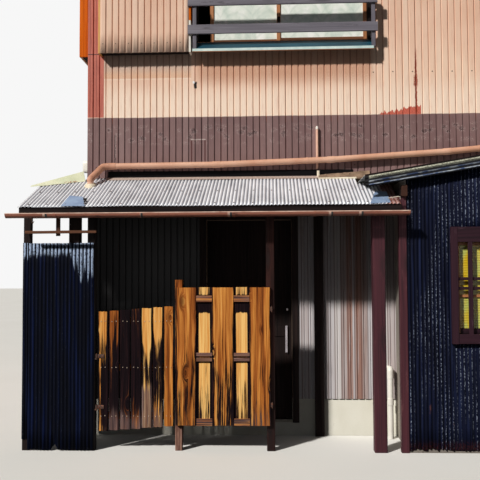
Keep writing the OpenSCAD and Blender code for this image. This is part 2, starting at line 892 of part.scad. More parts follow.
module bay_window() {
    edge = 43;
    lap = 9;
    bar = 32;
    y0 = bay_front - 40;
    y1 = bay_front - seat;
    x1 = bay_win_x + bay_win_w;
    z0 = bay_win_z + 60;
    z1 = bay_win_z + bay_win_h - 107;
    inner = bay_win_x - lap + edge;
    color("maroon") {
        difference() {
            block([bay_win_x - lap, y0, bay_win_z - edge], [x1 + lap, y1, z1 + 130]);
            block([inner, y0 - cut, z0], [x1 + lap - edge, y1 + cut, z1]);
        }
        for (x = [inner + bar_pitch - bar : bar_pitch : x1 - edge])
            block([x, y0 + 4, z0], [x + bar, y0 + 26, z1]);
        for (z = [bay_win_z + 453, bay_win_z + 533])
            block([inner, y0 + 26, z], [x1 + lap - edge, y1, z + 28]);
    }
}

module bay_panes() {
    color("gold")
        block([bay_win_x + seat, bay_wall_y + 20, bay_win_z + seat],
              [bay_win_x + bay_win_w - seat, bay_wall_y + 26, bay_win_z + bay_win_h - seat]);
}

// the sheet of the bay roof and the strip of the same sheet that stands along its verge
module bay_roof() {
    tilt = atan(bay_slope);
    run = (house_w - bay_roof_x) / cos(tilt);
    // the tilted sheet's crests would otherwise pass the party wall side
    crest_shift = bay_slope * wave_h;
    color("gray") {
        translate([bay_roof_x, -seat, bay_z(bay_roof_x)])
            rotate([0, -tilt, 0]) rotate([0, 0, -90])
                lying_sheet(-verge_y - verge_t - 2 * seat, run - crest_shift, wave_pitch, wave_d);
        translate([bay_roof_x, verge_y + wave_h, bay_roof_z])
            rotate([0, -tilt, 0]) rotate([180, 0, 0]) rotate([0, 90, 0])
                linear_extrude(run) wave_outline(verge_h * cos(tilt), wave_pitch, wave_d);
    }
}

module bay_roof_frame() {
    backing = verge_t - wave_h - seat;
    color("dimgray") {
        translate([0, verge_y + verge_t, 0]) rotate([90, 0, 0]) linear_extrude(backing)
            polygon([[bay_roof_x, bay_roof_z], [house_w, bay_roof_z + (house_w - bay_roof_x) * bay_slope],
                     [house_w, bay_z(house_w) + wave_h], [bay_roof_x, bay_z(bay_roof_x) + wave_h]]);
        first = bay_side_x + 5;
        last = house_w - purlin_w - 5;
        for (x = [first : (last - first) / 3 : last + 1])
            translate([0, -seat, 0]) rotate([90, 0, 0]) linear_extrude(-verge_y - verge_t - seat)
                polygon([[x, bay_z(x) - purlin], [x + purlin_w, bay_z(x + purlin_w) - purlin],
                         [x + purlin_w, bay_z(x + purlin_w) - seat], [x, bay_z(x) - seat]]);
        block([bay_x + 12, -post_line - 12, bay_post_h + seat],
              [bay_x + bay_corner, -seat, bay_roof_z - 20]);
    }
}

// a two-sash window in an opening win_w wide
module window_frame() {
    inner_w = win_w - 2 * win_frame;
    sash_w = inner_w / 2 + sash_frame / 2;
    difference() {
        block([0, -frame_out, 0], [win_w, wall_t - 20, win_h]);
        block([win_frame, -cut, win_frame], [win_w - win_frame, far, win_h - win_frame]);
    }
    for (s = [[win_frame, 45], [win_w - win_frame - sash_w, 10]])
        difference() {
            block([s[0], s[1], win_frame], [s[0] + sash_w, s[1] + 30, win_h - win_frame]);
            block([s[0] + sash_frame, s[1] - cut, win_frame + sash_frame],
                  [s[0] + sash_w - sash_frame, s[1] + cut, win_h - win_frame - sash_frame]);
        }
    block([0, -frame_out - 30, -22], [win_w, -frame_out, 0]);
}

module window_glass() {
    inner_w = win_w - 2 * win_frame;
    sash_w = inner_w / 2 + sash_frame / 2;
    for (s = [[win_frame, 45], [win_w - win_frame - sash_w, 10]])
        block([s[0] + sash_frame + seat, s[1] + 12, win_frame + sash_frame + seat],
              [s[0] + sash_w - sash_frame - seat, s[1] + 17, win_h - win_frame - sash_frame - seat]);
}

module at_front() { translate([win_x, 0, win_z]) children(); }
module at_side() { translate([0, win_x + win_w, win_z]) rotate([0, 0, -90]) children(); }
module at_rear(z) { translate([rear_win_x + win_w, house_d, z]) rotate([0, 0, 180]) children(); }

module front_window() {
    color("saddlebrown") at_front() window_frame();
}

module plain_windows() {
    color("saddlebrown") {
        at_side() window_frame();
        for (z = rear_sills) at_rear(z) window_frame();
    }
}

module window_panes() {
    color("lightcyan") {
        at_front() window_glass();
        at_side() window_glass();
        for (z = rear_sills) at_rear(z) window_glass();
    }
}

module balustrade() {
    left = box_x + box_w - rail_lap;
    right = win_x + win_w + rail_past;
    board = 18;
    // how deep the boards are notched over the posts
    notch = 4;
    post_y = -box_out - rail_gap;
    rails = [win_z + rail_low, win_z + rail_low + rail_rise];
    color("slategray") {
        for (z = rails)
            block([left, post_y - board, z], [right, post_y, z + rail_h]);
        for (x = [win_x + 2, win_x + win_w - rail_post / 2]) {
            block([x, post_y - notch, win_z + 38], [x + rail_post, post_y + 30, rails[1] + 110]);
            for (z = [win_z + 78, rails[1] + 50])
                block([x, post_y + 30, z], [x + rail_post, -frame_out - seat, z + 30]);
        }
    }
}

module shutter_box(out) {
    board = 19;
    block([0, -out, 0], [board, -seat, box_h]);
    block([box_w - board, -out, 0], [box_w, -seat, box_h]);
    block([board, -out, box_h - board], [box_w - board, -seat, box_h]);
    block([board, -out, 0], [box_w - board, -seat, board]);
    translate([board, -out, board]) ribbed_sheet(box_w - 2 * board, box_h - 2 * board);
}

module shutter_boxes() {
    color("chocolate") {
        translate([box_x, 0, box_z]) shutter_box(box_out);
        translate([0, box_x + box_w, side_box_z]) rotate([0, 0, -90]) shutter_box(side_box_out);
    }
}

// one slope of the main roof, from the eave at Y = -eave_out to the ridge
module slope_sheet() {
    z = roof_line(-eave_out - 20) + deck_z;
    run = (mid_depth + eave_out + 20) / roof_cos - 12;
    translate([-gable_out, -eave_out - 20, z]) rotate([roof_pitch, 0, 0])
        lying_sheet(gable_out + house_w, run, big_wave_pitch, big_wave_d);
}

module both_slopes() {
    children();
    translate([0, house_d, 0]) mirror([0, 1, 0]) children();
}

module main_roof() {
    color("lightgray") both_slopes() slope_sheet();
}

module ridge_cap() {
    wing = 150;
    lift = deck_z + (big_wave_d + sheet_t) / roof_cos + seat;
    color("lightgray") translate([-gable_out, 0, 0]) rotate([90, 0, 90])
        linear_extrude(gable_out + house_w)
            polygon([[mid_depth - wing, roof_line(mid_depth - wing) + lift],
                     [mid_depth, roof_line(mid_depth) + lift],
                     [mid_depth + wing, roof_line(mid_depth + wing) + lift],
                     [mid_depth + wing, roof_line(mid_depth + wing) + lift + sheet_t],
                     [mid_depth, roof_line(mid_depth) + lift + sheet_t + 1],
                     [mid_depth - wing, roof_line(mid_depth - wing) + lift + sheet_t]]);
}

// a sloping band over the whole depth, between two heights above the wall tops
module roof_band(x, width, low, high) {
    y0 = -eave_out;
    y1 = house_d + eave_out;
    translate([x, 0, 0]) rotate([90, 0, 90]) linear_extrude(width)
        polygon([[y0, roof_line(y0) + low], [mid_depth, roof_line(mid_depth) + low],
                 [y1, roof_line(y1) + low], [y1, roof_line(y1) + high],
                 [mid_depth, roof_line(mid_depth) + high], [y0, roof_line(y0) + high]]);
}

module roof_frame() {
    count = 9;
    first = clad_d + wall_t / 2 - rafter_w / 2;
    last = house_w - wall_t / 2 - rafter_w / 2;
    low = seat;
    color("burlywood") {
        roof_band(-gable_out, gable_out + house_w, deck_z - deck_t / roof_cos, deck_z - seat);
        for (i = [0 : count])
            roof_band(first + i * (last - first) / count, rafter_w, low, deck_z - deck_t);
        roof_band(-gable_out, rafter_w, low, deck_z - deck_t);
        both_slopes() translate([clad_d, 0, 0]) rotate([90, 0, 90]) linear_extrude(house_w - clad_d)
            polygon([[clad_d + 20, eave_z + 12], [wall_in, eave_z + 50], [wall_in, roof_line(wall_in) + deck_z - deck_t],
                     [clad_d + 20, roof_line(clad_d + 20) + deck_z - deck_t]]);
    }
}

module bargeboards() {
    color("saddlebrown") {
        roof_band(-gable_out - 18, 18 - seat, -30, deck_z - seat);
        both_slopes()
            block([-gable_out, -eave_out - fascia_t, roof_line(-eave_out) - 30],
                  [house_w, -eave_out - seat, roof_line(-eave_out) + deck_z - 14]);
    }
}

module main_gutter() {
    fascia_front = -eave_out - fascia_t;
    translate([0, main_gutter_y, main_gutter_z]) {
        translate([-gable_out, 0, 0]) gutter(gable_out + house_w, main_r);
        for (x = [-gable_out + 110 : bracket_pitch : house_w - 100])
            translate([x, 0, 0]) gutter_bracket(main_r, fascia_front - main_gutter_y);
    }
}

module main_gutters() {
    x = drain_end_x;
    top = main_gutter_z - main_r - seat;
    color("indianred") {
        both_slopes() main_gutter();
        pipe([[x, main_gutter_y, top], [x, main_gutter_y, top - 60], [x, drain_y, top - 260],
              [x, drain_y, drain_z(x) + drain_r + seat]], drain_r);
        pipe([[x, house_d - main_gutter_y, top], [x, house_d - main_gutter_y, top - 60],
              [x, house_d - drain_y, top - 260], [x, house_d - drain_y, 60]], drain_r);
    }
}

placed() ground_floor();
placed() foundation();
placed() porch_wall_left();
placed() porch_wall_right();
placed() porch_wall_over_door();
placed() upper_front_wall();
placed() left_wall();
placed() party_wall();
placed() rear_wall();
placed() upper_floor();
placed() front_cladding();
placed() left_cladding();
placed() rear_cladding();
placed() galvanised_sheets();
placed() door_frame();
placed() lean_to_roof();
placed() lean_to_frame();
placed() head_flashing();
placed() verge_flashing();
placed() roof_patches();
placed() eave_gutter();
placed() drain_pipe();
placed() wall_fittings();
placed() white_pipe();
placed() left_bay_sheet();
placed() left_bay_frame();
placed() gate_posts();
placed() tall_post();
placed() porch_posts();
placed() gate_pintles();
placed() bay_walls();
placed() bay_sheets();
placed() bay_window();
placed() bay_panes();
placed() bay_roof();
placed() bay_roof_frame();
placed() front_window();
placed() plain_windows();
placed() window_panes();
placed() balustrade();
placed() shutter_boxes();
placed() main_roof();
placed() ridge_cap();
placed() roof_frame();
placed() bargeboards();
placed() main_gutters();
placed() board_gate();
placed() panel_gate();
placed() entrance_door();
placed() door_pull();
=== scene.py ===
"""Looks of the two-storey townhouse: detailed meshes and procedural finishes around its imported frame.

Street coordinates are used throughout, in metres: X = 0 at the left corner of the upper storey,
Y = 0 at the face of its cladding, Z = 0 at the ground. at() turns them into the frame's own.
"""

import math

import bmesh
import bpy
import numpy as np
from mathutils import Matrix, Vector, noise


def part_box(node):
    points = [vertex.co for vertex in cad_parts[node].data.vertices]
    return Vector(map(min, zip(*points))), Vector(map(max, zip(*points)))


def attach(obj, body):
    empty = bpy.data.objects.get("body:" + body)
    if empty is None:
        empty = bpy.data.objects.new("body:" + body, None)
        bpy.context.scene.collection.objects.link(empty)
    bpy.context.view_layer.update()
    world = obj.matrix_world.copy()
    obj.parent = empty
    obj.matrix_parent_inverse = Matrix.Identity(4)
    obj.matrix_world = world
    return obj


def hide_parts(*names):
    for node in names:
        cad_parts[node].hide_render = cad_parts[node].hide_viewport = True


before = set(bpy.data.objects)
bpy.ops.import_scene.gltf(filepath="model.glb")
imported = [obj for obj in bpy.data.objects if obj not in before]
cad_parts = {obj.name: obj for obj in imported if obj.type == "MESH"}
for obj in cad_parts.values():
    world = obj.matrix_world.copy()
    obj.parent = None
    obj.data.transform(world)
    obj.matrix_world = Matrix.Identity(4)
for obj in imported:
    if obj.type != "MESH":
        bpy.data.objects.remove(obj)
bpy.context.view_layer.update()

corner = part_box("front_cladding")[0]
HOUSE_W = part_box("front_cladding")[1].x - corner.x
HOUSE_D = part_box("rear_cladding")[1].y - corner.y


def at(x, y, z):
    """A point in street coordinates as a point of the frame."""
    return Vector((corner.x + x, corner.y + y, z))


def street_box(node):
    """Lowest and highest corner of a CAD node in street coordinates."""
    low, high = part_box(node)
    shift = Vector((corner.x, corner.y, 0))
    return low - shift, high - shift


# Materials


def linear(colour):
    """An sRGB colour, three numbers from 0 to 255, as a linear colour of full opacity."""
    shares = [c / 255 for c in colour]
    return (*(c / 12.92 if c <= 0.04045 else ((c + 0.055) / 1.055) ** 2.4 for c in shares), 1)


def arithmetic(operation, swapped=False):
    """A method that does one sum with a wire, which comes second where swapped is set."""
    def act(self, other):
        return self.tree.math(operation, *((other, self) if swapped else (self, other)))
    return act


class Wire:
    """An output in a node tree, which plain sums can be done with."""

    def __init__(self, tree, socket):
        self.tree, self.socket = tree, socket

    __add__, __radd__ = arithmetic("ADD"), arithmetic("ADD", True)
    __sub__, __rsub__ = arithmetic("SUBTRACT"), arithmetic("SUBTRACT", True)
    __mul__, __rmul__ = arithmetic("MULTIPLY"), arithmetic("MULTIPLY", True)
    __truediv__, __mod__ = arithmetic("DIVIDE"), arithmetic("MODULO")

    def __abs__(self):
        return self.tree.math("ABSOLUTE", self)


class Tree:
    """A node tree that is built one node at a time."""

    def __init__(self, tree):
        self.tree = tree

    def node(self, kind, **settings):
        made = self.tree.nodes.new(kind)
        for key, value in settings.items():
            setattr(made, key, value)
        return made

    def feed(self, socket, value):
        """Links value to socket, or sets it where it is a plain number or tuple."""
        if isinstance(value, Wire):
            self.tree.links.new(value.socket, socket)
        else:
            socket.default_value = value

    def made(self, kind, output, inputs, **settings):
        """The output of a new node whose inputs are fed by name or place."""
        node = self.node(kind, **settings)
        for key, value in inputs.items():
            self.feed(node.inputs[key], value)
        return Wire(self, node.outputs[output])

    def math(self, operation, a, b=0.0):
        return self.made("ShaderNodeMath", 0, {0: a, 1: b}, operation=operation)

    def largest(self, *values):
        out = values[0]
        for value in values[1:]:
            out = self.math("MAXIMUM", out, value)
        return out

    def seen(self):
        """1 where the camera looks, straight or by way of a glossy or clear surface, else 0."""
        rays = self.node("ShaderNodeLightPath").outputs
        kinds = "Camera", "Glossy", "Transmission"
        return self.largest(*(Wire(self, rays[f"Is {kind} Ray"]) for kind in kinds))


class Finish(Tree):
    """A procedural material. Its colours are sRGB, three numbers from 0 to 255."""

    def __init__(self, name, roughness=0.6, metallic=0.0, **extra):
        self.material = bpy.data.materials.new(name)
        self.material.use_nodes = True
        super().__init__(self.material.node_tree)
        self.shader = self.tree.nodes["Principled BSDF"]
        for key, value in {"Roughness": roughness, "Metallic": metallic, **extra}.items():
            self.shader.inputs[key.replace("_", " ")].default_value = value
        self.place = Wire(self, self.node("ShaderNodeTexCoord").outputs["Object"])

    def attribute(self, name, output="Fac"):
        return self.made("ShaderNodeAttribute", output, {}, attribute_name=name)

    def split(self, vector):
        made = self.node("ShaderNodeSeparateXYZ")
        self.feed(made.inputs[0], vector)
        return [Wire(self, made.outputs[i]) for i in range(3)]

    def join(self, x, y, z):
        return self.made("ShaderNodeCombineXYZ", 0, {0: x, 1: y, 2: z})

    def stretch(self, vector, scale, shift=(0, 0, 0)):
        return self.made("ShaderNodeMapping", 0, {"Vector": vector, "Scale": scale, "Location": shift})

    def noise(self, vector, scale=1.0, detail=4.0, rough=0.55, warp=0.0):
        """Noise from 0 to 1; scale is one number, or three where it is stretched."""
        if isinstance(scale, tuple):
            vector, scale = self.stretch(vector, scale), 1.0
        return self.made("ShaderNodeTexNoise", "Fac", {"Vector": vector, "Scale": scale, "Detail": detail,
                                                       "Roughness": rough, "Distortion": warp})

    def cells(self, vector):
        """Distance to the nearest of irregular places."""
        return self.made("ShaderNodeTexVoronoi", "Distance", {"Vector": vector, "Scale": 1.0})

    def ramp(self, value, low, high, out_low=0.0, out_high=1.0):
        """value moved smoothly from low..high to out_low..out_high."""
        ends = {"Value": value, "From Min": low, "From Max": high, "To Min": out_low, "To Max": out_high}
        return self.made("ShaderNodeMapRange", "Result", ends, interpolation_type="SMOOTHSTEP")

    def band(self, value, low, high, soft=0.004):
        """1 where value lies between low and high, with soft edges."""
        return self.ramp(value, low - soft, low + soft) * self.ramp(value, high - soft, high + soft, 1.0, 0.0)

    def mix(self, share, a, b):
        a, b = (c if isinstance(c, Wire) else linear(c) for c in (a, b))
        return self.made("ShaderNodeMix", 2, {0: share, 6: a, 7: b}, data_type="RGBA")

    def coats(self, colour, *coats):
        """colour under coats, each of them a share and a colour."""
        for share, over in coats:
            colour = self.mix(share, colour, over)
        return colour

    def shades(self, value, *stops):
        """A colour from value along stops of (position, colour)."""
        made = self.node("ShaderNodeValToRGB")
        self.feed(made.inputs[0], value)
        parts = made.color_ramp.elements
        while len(parts) < len(stops):
            parts.new(0.5)
        for part, (place, colour) in zip(parts, stops):
            part.position = place
            part.color = linear(colour)
        return Wire(self, made.outputs[0])

    def bump(self, height, depth, strength=1.0, under=None):
        inputs = {"Strength": strength, "Distance": depth, "Height": height}
        return self.made("ShaderNodeBump", "Normal", inputs if under is None else {**inputs, "Normal": under})

    def done(self, colour, roughness, normal=None):
        self.feed(self.shader.inputs["Base Color"], colour)
        self.feed(self.shader.inputs["Roughness"], roughness)
        if normal is not None:
            self.feed(self.shader.inputs["Normal"], normal)
        return self.material


# Limits of the paint on the cladding, and the form of its ribs
BROWN_TOP, CORNER_W, CORNER_JOINT = 2.979, 0.156, 3.594
WINDOW_SPAN, BOX_SPAN = (1.06, 2.70), (0.156, 0.992)
RIB_PITCH, RIB_GROOVE, RIB_DEPTH, SHEET_RIBS = 0.061, 0.014, 0.010, 10
GROOVE_MIDDLE = 1 - RIB_GROOVE / RIB_PITCH / 2


def cladding_finish(name, face, start=0.0, front=True):
    """Ribbed sheet: peach paint above, mauve brown below, salmon corner, rust and scars.

    face is the side it is on: "front", "left" or "rear". start is where its first rib begins,
    along the wall from the end that the ribs are counted from.
    """
    f = Finish(name, Specular_IOR_Level=0.3)
    px, py, pz = f.split(f.place)
    if face == "front":
        across = px - (corner.x + start)
    else:
        across = (corner.y + start) - py if face == "left" else (corner.x + start) - px
    flat = f.join(across, 0.0, pz)
    wide = f.noise(flat, (1.6, 1, 1.1), 3)
    fine = f.noise(flat, (60, 1, 5), 5)
    speck = f.noise(flat, 160, 3)
    blotch = f.noise(flat, 30, 5, 0.7)
    ribs = (across + 10 * RIB_PITCH) / RIB_PITCH
    rib = f.math("FLOOR", ribs)
    rib_tone = f.noise(f.join(rib, 0.0, 0.0), 3.7, 0)

    def area(x, x_band, z_band):
        return f.band(x, *x_band) * f.band(pz, *z_band)

    # brownish dirt that fades downwards under the window
    dirty = f.band(across, *WINDOW_SPAN, 0.04) * f.ramp(pz, 3.22, 3.40) * f.ramp(speck, 0.25, 0.55)
    peach = f.coats(
        f.shades(wide, (0.3, (222, 178, 152)), (0.5, (234, 196, 172)), (0.72, (242, 212, 188))),
        (f.ramp(pz, 3.40, 3.10), (246, 222, 202)),
        (f.ramp(fine, 0.5, 0.75, 0, 0.4), (208, 154, 130)),
        (f.ramp(rib_tone, 0.45, 0.7, 0, 0.3), (250, 232, 214)),
        (f.ramp(blotch, 0.62, 0.72, 0, 0.3), (196, 140, 116)),
        (dirty * (0.8 if front else 0.15), (188, 134, 104)))
    # scars of old fixings in a row along the brown band, with pale painted highlights about them
    spots = f.cells(f.stretch(flat, (11, 1, 15))) + (blotch - 0.5) * 0.9
    row = pz + (wide - 0.5) * 0.05
    scars = f.band(row, 2.750, 2.878, 0.012) * f.ramp(spots, 0.30, 0.18) * f.ramp(fine, 0.3, 0.5)
    scar_highlight = f.band(row, 2.72, 2.90, 0.02) * f.ramp(spots, 0.5, 0.36) * f.ramp(speck, 0.54, 0.6)
    brown = f.coats(
        f.shades(wide, (0.3, (108, 82, 82)), (0.7, (134, 106, 104))),
        (f.ramp(fine, 0.45, 0.8, 0, 0.45), (88, 62, 62)),
        (f.ramp(rib_tone, 0.5, 0.7, 0, 0.25), (156, 132, 130)),
        (scars * 0.9, (58, 28, 30)),
        (scar_highlight * 0.6, (206, 190, 188)))
    line = BROWN_TOP + (f.noise(flat, 3.0, 2) - 0.5) * 0.014
    is_brown = f.ramp(line - pz, -0.003, 0.003)
    colour = f.mix(is_brown, peach, brown)

    # grooves are darker, partly dirt and partly painted shade, and every tenth is a lapped seam
    groove = f.band(f.math("FRACT", ribs), GROOVE_MIDDLE - 0.035, GROOVE_MIDDLE + 0.035, 0.03)
    seam = groove * f.ramp(rib % float(SHEET_RIBS), 0.6, 0.4)
    groove_dirt_and_shade = f.mix(is_brown, (148, 90, 76), (58, 38, 40))
    depth = f.ramp(f.noise(f.join(rib, 7.0, 0.0), 5.1, 0), 0.35, 0.65, 0.35, 0.8)
    if front:
        in_corner = f.ramp(across, CORNER_W + 0.003, CORNER_W - 0.003)
        in_corner = in_corner * f.ramp(pz, BROWN_TOP, BROWN_TOP + 0.01)
        depth = depth * (1.0 - in_corner * 0.6)
        salmon = f.coats(
            (192, 108, 92),
            (f.ramp(fine, 0.4, 0.8), (156, 78, 66)),
            (f.ramp(blotch, 0.6, 0.7, 0, 0.5), (220, 150, 132)),
            *((f.band(across, low, low + 0.008, 0.004) * 0.6, (104, 40, 38)) for low in (0.018, 0.078)),
            (f.band(pz, CORNER_JOINT - 0.004, CORNER_JOINT + 0.004, 0.002), (54, 22, 22)))
        # the strip under the shutter box never faded to the same tone
        under_box = f.band(across, *BOX_SPAN, 0.003)
        strip_colour = f.mix(f.ramp(pz, 3.37, 3.47), (214, 168, 132), (176, 156, 144))
        colour = f.coats(
            colour, (in_corner, salmon),
            (under_box * f.ramp(pz, 3.345, 3.365) * f.ramp(speck, 0.3, 0.6) * 0.85, strip_colour),
            (under_box * f.band(pz, 3.343, 3.352, 0.002) * 0.35, (244, 234, 220)))
    # rust creeps from the paint line
    drips = groove * f.ramp(f.noise(flat, (9, 1, 2.2), 2), 0.5, 0.62)
    colour = f.coats(
        colour, (groove * depth, groove_dirt_and_shade), (seam * 0.9, (92, 34, 30)),
        (drips * f.band(pz, BROWN_TOP - 0.05, BROWN_TOP + 0.03, 0.03) * 0.85, (188, 92, 40)))
    if front:
        # a peeled red patch over the brown band, and the rusty seam above it
        teeth = (f.noise(flat, (45, 1, 6), 4) - 0.4) * 0.11
        top = f.ramp(across, 2.77, 3.14, 0.018, 0.072) + teeth + (BROWN_TOP - 0.012)
        peel = f.band(across, 2.766, 3.147, 0.003) * f.ramp(top - pz, -0.002, 0.002)
        red = f.mix(f.ramp(speck, 0.4, 0.6), (212, 116, 94), (170, 70, 58))
        wander = across + (blotch - 0.5) * 0.02
        streak = area(wander, (3.094, 3.112, 0.004), (BROWN_TOP, 3.56, 0.06))
        streak = streak * f.ramp(f.noise(flat, (20, 1, 9), 3), 0.36, 0.48)
        thick = area(wander, (3.084, 3.120, 0.006), (3.24, 3.34, 0.02)) * f.ramp(speck, 0.4, 0.5)
        # a cut and patched piece of the brown band, then a crack beside it, a hole and a chip
        patch_x = abs(across - 1.058)
        rim = f.ramp(patch_x, 0.072, 0.068) * f.band(pz, 2.758, 2.768, 0.002) * f.ramp(speck, 0.45, 0.5)
        # glint is a pale painted highlight along the crack's edge
        glint = area(wander, (0.270, 0.275, 0.002), (2.60, 2.84, 0.01)) * f.ramp(speck, 0.42, 0.52)
        colour = f.coats(
            colour, (peel * f.ramp(pz, BROWN_TOP - 0.006, BROWN_TOP + 0.002), red),
            (f.largest(streak, thick), (146, 56, 32)),
            (area(patch_x, (0.057, 0.070, 0.002), (2.55, 2.762, 0.004)) * 0.9, (66, 18, 16)),
            (rim * 0.8, (214, 200, 194)),
            (area(wander, (0.260, 0.268, 0.002), (2.55, 2.815, 0.004)), (34, 18, 20)),
            (glint * 0.7, (206, 186, 182)),
            (area(wander, (1.018, 1.046, 0.004), (3.252, 3.314, 0.006)), (14, 10, 12)),
            (area(wander, (1.006, 1.024, 0.003), (3.298, 3.322, 0.003)), (240, 240, 240)))
    normal = f.bump(f.noise(flat, (7, 1, 3), 2), 0.006, 0.5)
    normal = f.bump(speck + scars * -3.0, 0.0012, 0.6, normal)
    return f.done(colour, f.ramp(wide, 0.3, 0.7, 0.5, 0.7), normal)


def growth(f, axes, shade, knot_scale, knot_edge, sway, knot_push, fibre, cloud, contrast):
    """The wood's place, its place along the wavy grain, its knots, its grain and its tone."""
    a, b, t = axes
    local = f.join(a, b, t)
    knots = f.ramp(f.cells(f.stretch(local, knot_scale)), *knot_edge, 1.0, 0.0)
    along = f.join(a + (f.noise(local, sway, 2) * 0.05 + knots * knot_push), b, t)
    grain = f.noise(along, *fibre)
    tone = grain * 0.55 + f.noise(along, *cloud) * 0.45
    return local, along, knots, grain, tone + (shade - 0.5) * contrast


def wood_finish(name, pale, deep, roughness=0.7, gloss=0.0, wear=None, axis=None, relief=0.0011,
                specular=0.4):
    """Sawn wood with grain along the piece and darker knots.

    It reads the piece's own "grain" coordinates and "shade". On a CAD node, axis says which frame
    axis the grain follows instead. wear is a colour that shows through on worn patches.
    """
    f = Finish(name, roughness, Specular_IOR_Level=specular)
    if gloss:
        f.shader.inputs["Coat Weight"].default_value = gloss
        f.shader.inputs["Coat Roughness"].default_value = 0.3
    if axis:
        x, y, z = f.split(f.place)
        axes, shade = {"x": (y, z, x), "y": (x, z, y), "z": (x, y, z)}[axis], 0.5
    else:
        axes, shade = f.split(f.attribute("grain", "Vector")), f.attribute("shade")
    local, _, knots, grain, tone = growth(
        f, axes, shade, (7, 7, 1.9), (0.05, 0.3), (6, 6, 1.1), 0.035,
        ((95, 30, 1.3), 5, 0.6), ((20.9, 8, 0.8), 3), 0.5)
    colour = f.coats(pale, (f.ramp(tone, 0.32, 0.68), deep), (knots * 0.6, [c * 0.45 for c in deep]))
    if wear:
        colour = f.mix(f.ramp(f.noise(local, (22, 22, 4), 6, 0.7), 0.58, 0.68) * 0.8, colour, wear)
    rough = f.ramp(grain, 0.3, 0.7, roughness - 0.08, min(1, roughness + 0.12))
    return f.done(colour, rough, f.bump(grain, relief, 0.8))


def gate_finish(name):
    """Old cedar: honey where weathered, charred in the middle, grey at the foot; the char colour also paints
    shade.
    """
    f = Finish(name, 0.8, Specular_IOR_Level=0.05)
    axes = f.split(f.attribute("grain", "Vector"))
    _, along, knots, grain, tone = growth(
        f, axes, f.attribute("shade"), (6.5, 6.5, 2.6), (0.03, 0.26), (5, 5, 1.2), 0.045,
        ((150, 40, 1.6), 5, 0.65), ((24, 8, 0.9), 4), 0.6)
    honey = f.shades(tone, (0.28, (252, 202, 124)), (0.41, (226, 152, 72)), (0.52, (168, 94, 40)),
                     (0.61, (92, 46, 22)), (0.72, (30, 14, 10)))
    char_and_shade_colour = f.shades(grain, (0.3, (52, 30, 32)), (0.48, (20, 11, 15)), (0.65, (5, 3, 6)))
    ash = f.shades(grain, (0.3, (160, 134, 126)), (0.47, (108, 86, 84)), (0.62, (40, 28, 32)))
    streaks = f.noise(along, (46, 14, 2.6), 6, 0.62) - 0.5
    fibres = grain - 0.5
    charred_and_shaded = f.ramp(f.attribute("burn") + (streaks * 1.6 + fibres * 1.1), 0.36, 0.66)
    greyed = f.ramp(f.attribute("grey") + (streaks * 1.0 + fibres * 0.8), 0.36, 0.66)
    colour = f.coats(honey, (knots * 0.8, (74, 34, 14)), (charred_and_shaded, char_and_shade_colour), (greyed * 0.85, ash))
    return f.done(colour, 0.72, f.bump(grain, 0.0016, 0.9))


def corrugated_finish(name, light, mid, dark, rust=0.0, axis="y", rusty_from=None):
    """Old corrugated sheet: painted highlights on crests, painted shade in troughs, dirt and a few rust
    stains.

    axis is the one its waves run along, and rusty_from the street X from which its end is mostly rust.
    """
    f = Finish(name, 0.5, 0.15)
    crest = f.attribute("crest")
    scale = {"y": (26, 2.2, 2.2), "x": (2.2, 26, 26)}[axis]
    speck = f.noise(f.place, 190, 3)
    tone = f.noise(f.place, scale, 5) * 0.5 + f.noise(f.place, 2.3, 3) * 0.5
    rusty = f.ramp(f.noise(f.place, tuple(s * 0.45 for s in scale), 5, 0.65), 0.72 - rust, 0.8 - rust)
    if rusty_from:
        px, start = f.split(f.place)[0], corner.x + rusty_from
        rusty = f.largest(rusty, f.ramp(px, start - 0.03, start + 0.02) * f.ramp(speck, 0.34, 0.42) * 0.9)
    colour = f.coats(
        f.shades(tone, (0.32, dark), (0.5, mid), (0.68, light)),
        # painted shade in the troughs, and a painted highlight on the crests
        (f.ramp(crest, 0.34, 0.0, 0, 0.85), [c * 0.32 for c in dark]),
        (f.ramp(crest, 0.6, 0.92, 0, 0.6), [min(255, c * 1.12) for c in light]),
        (f.ramp(f.noise(f.place, 34, 5, 0.65), 0.64, 0.73, 0, 0.6), (74, 58, 56)),
        (rusty, f.mix(speck, (150, 74, 40), (92, 46, 34))))
    return f.done(colour, f.ramp(speck, 0.3, 0.7, 0.44, 0.62), f.bump(speck, 0.0006, 0.5))


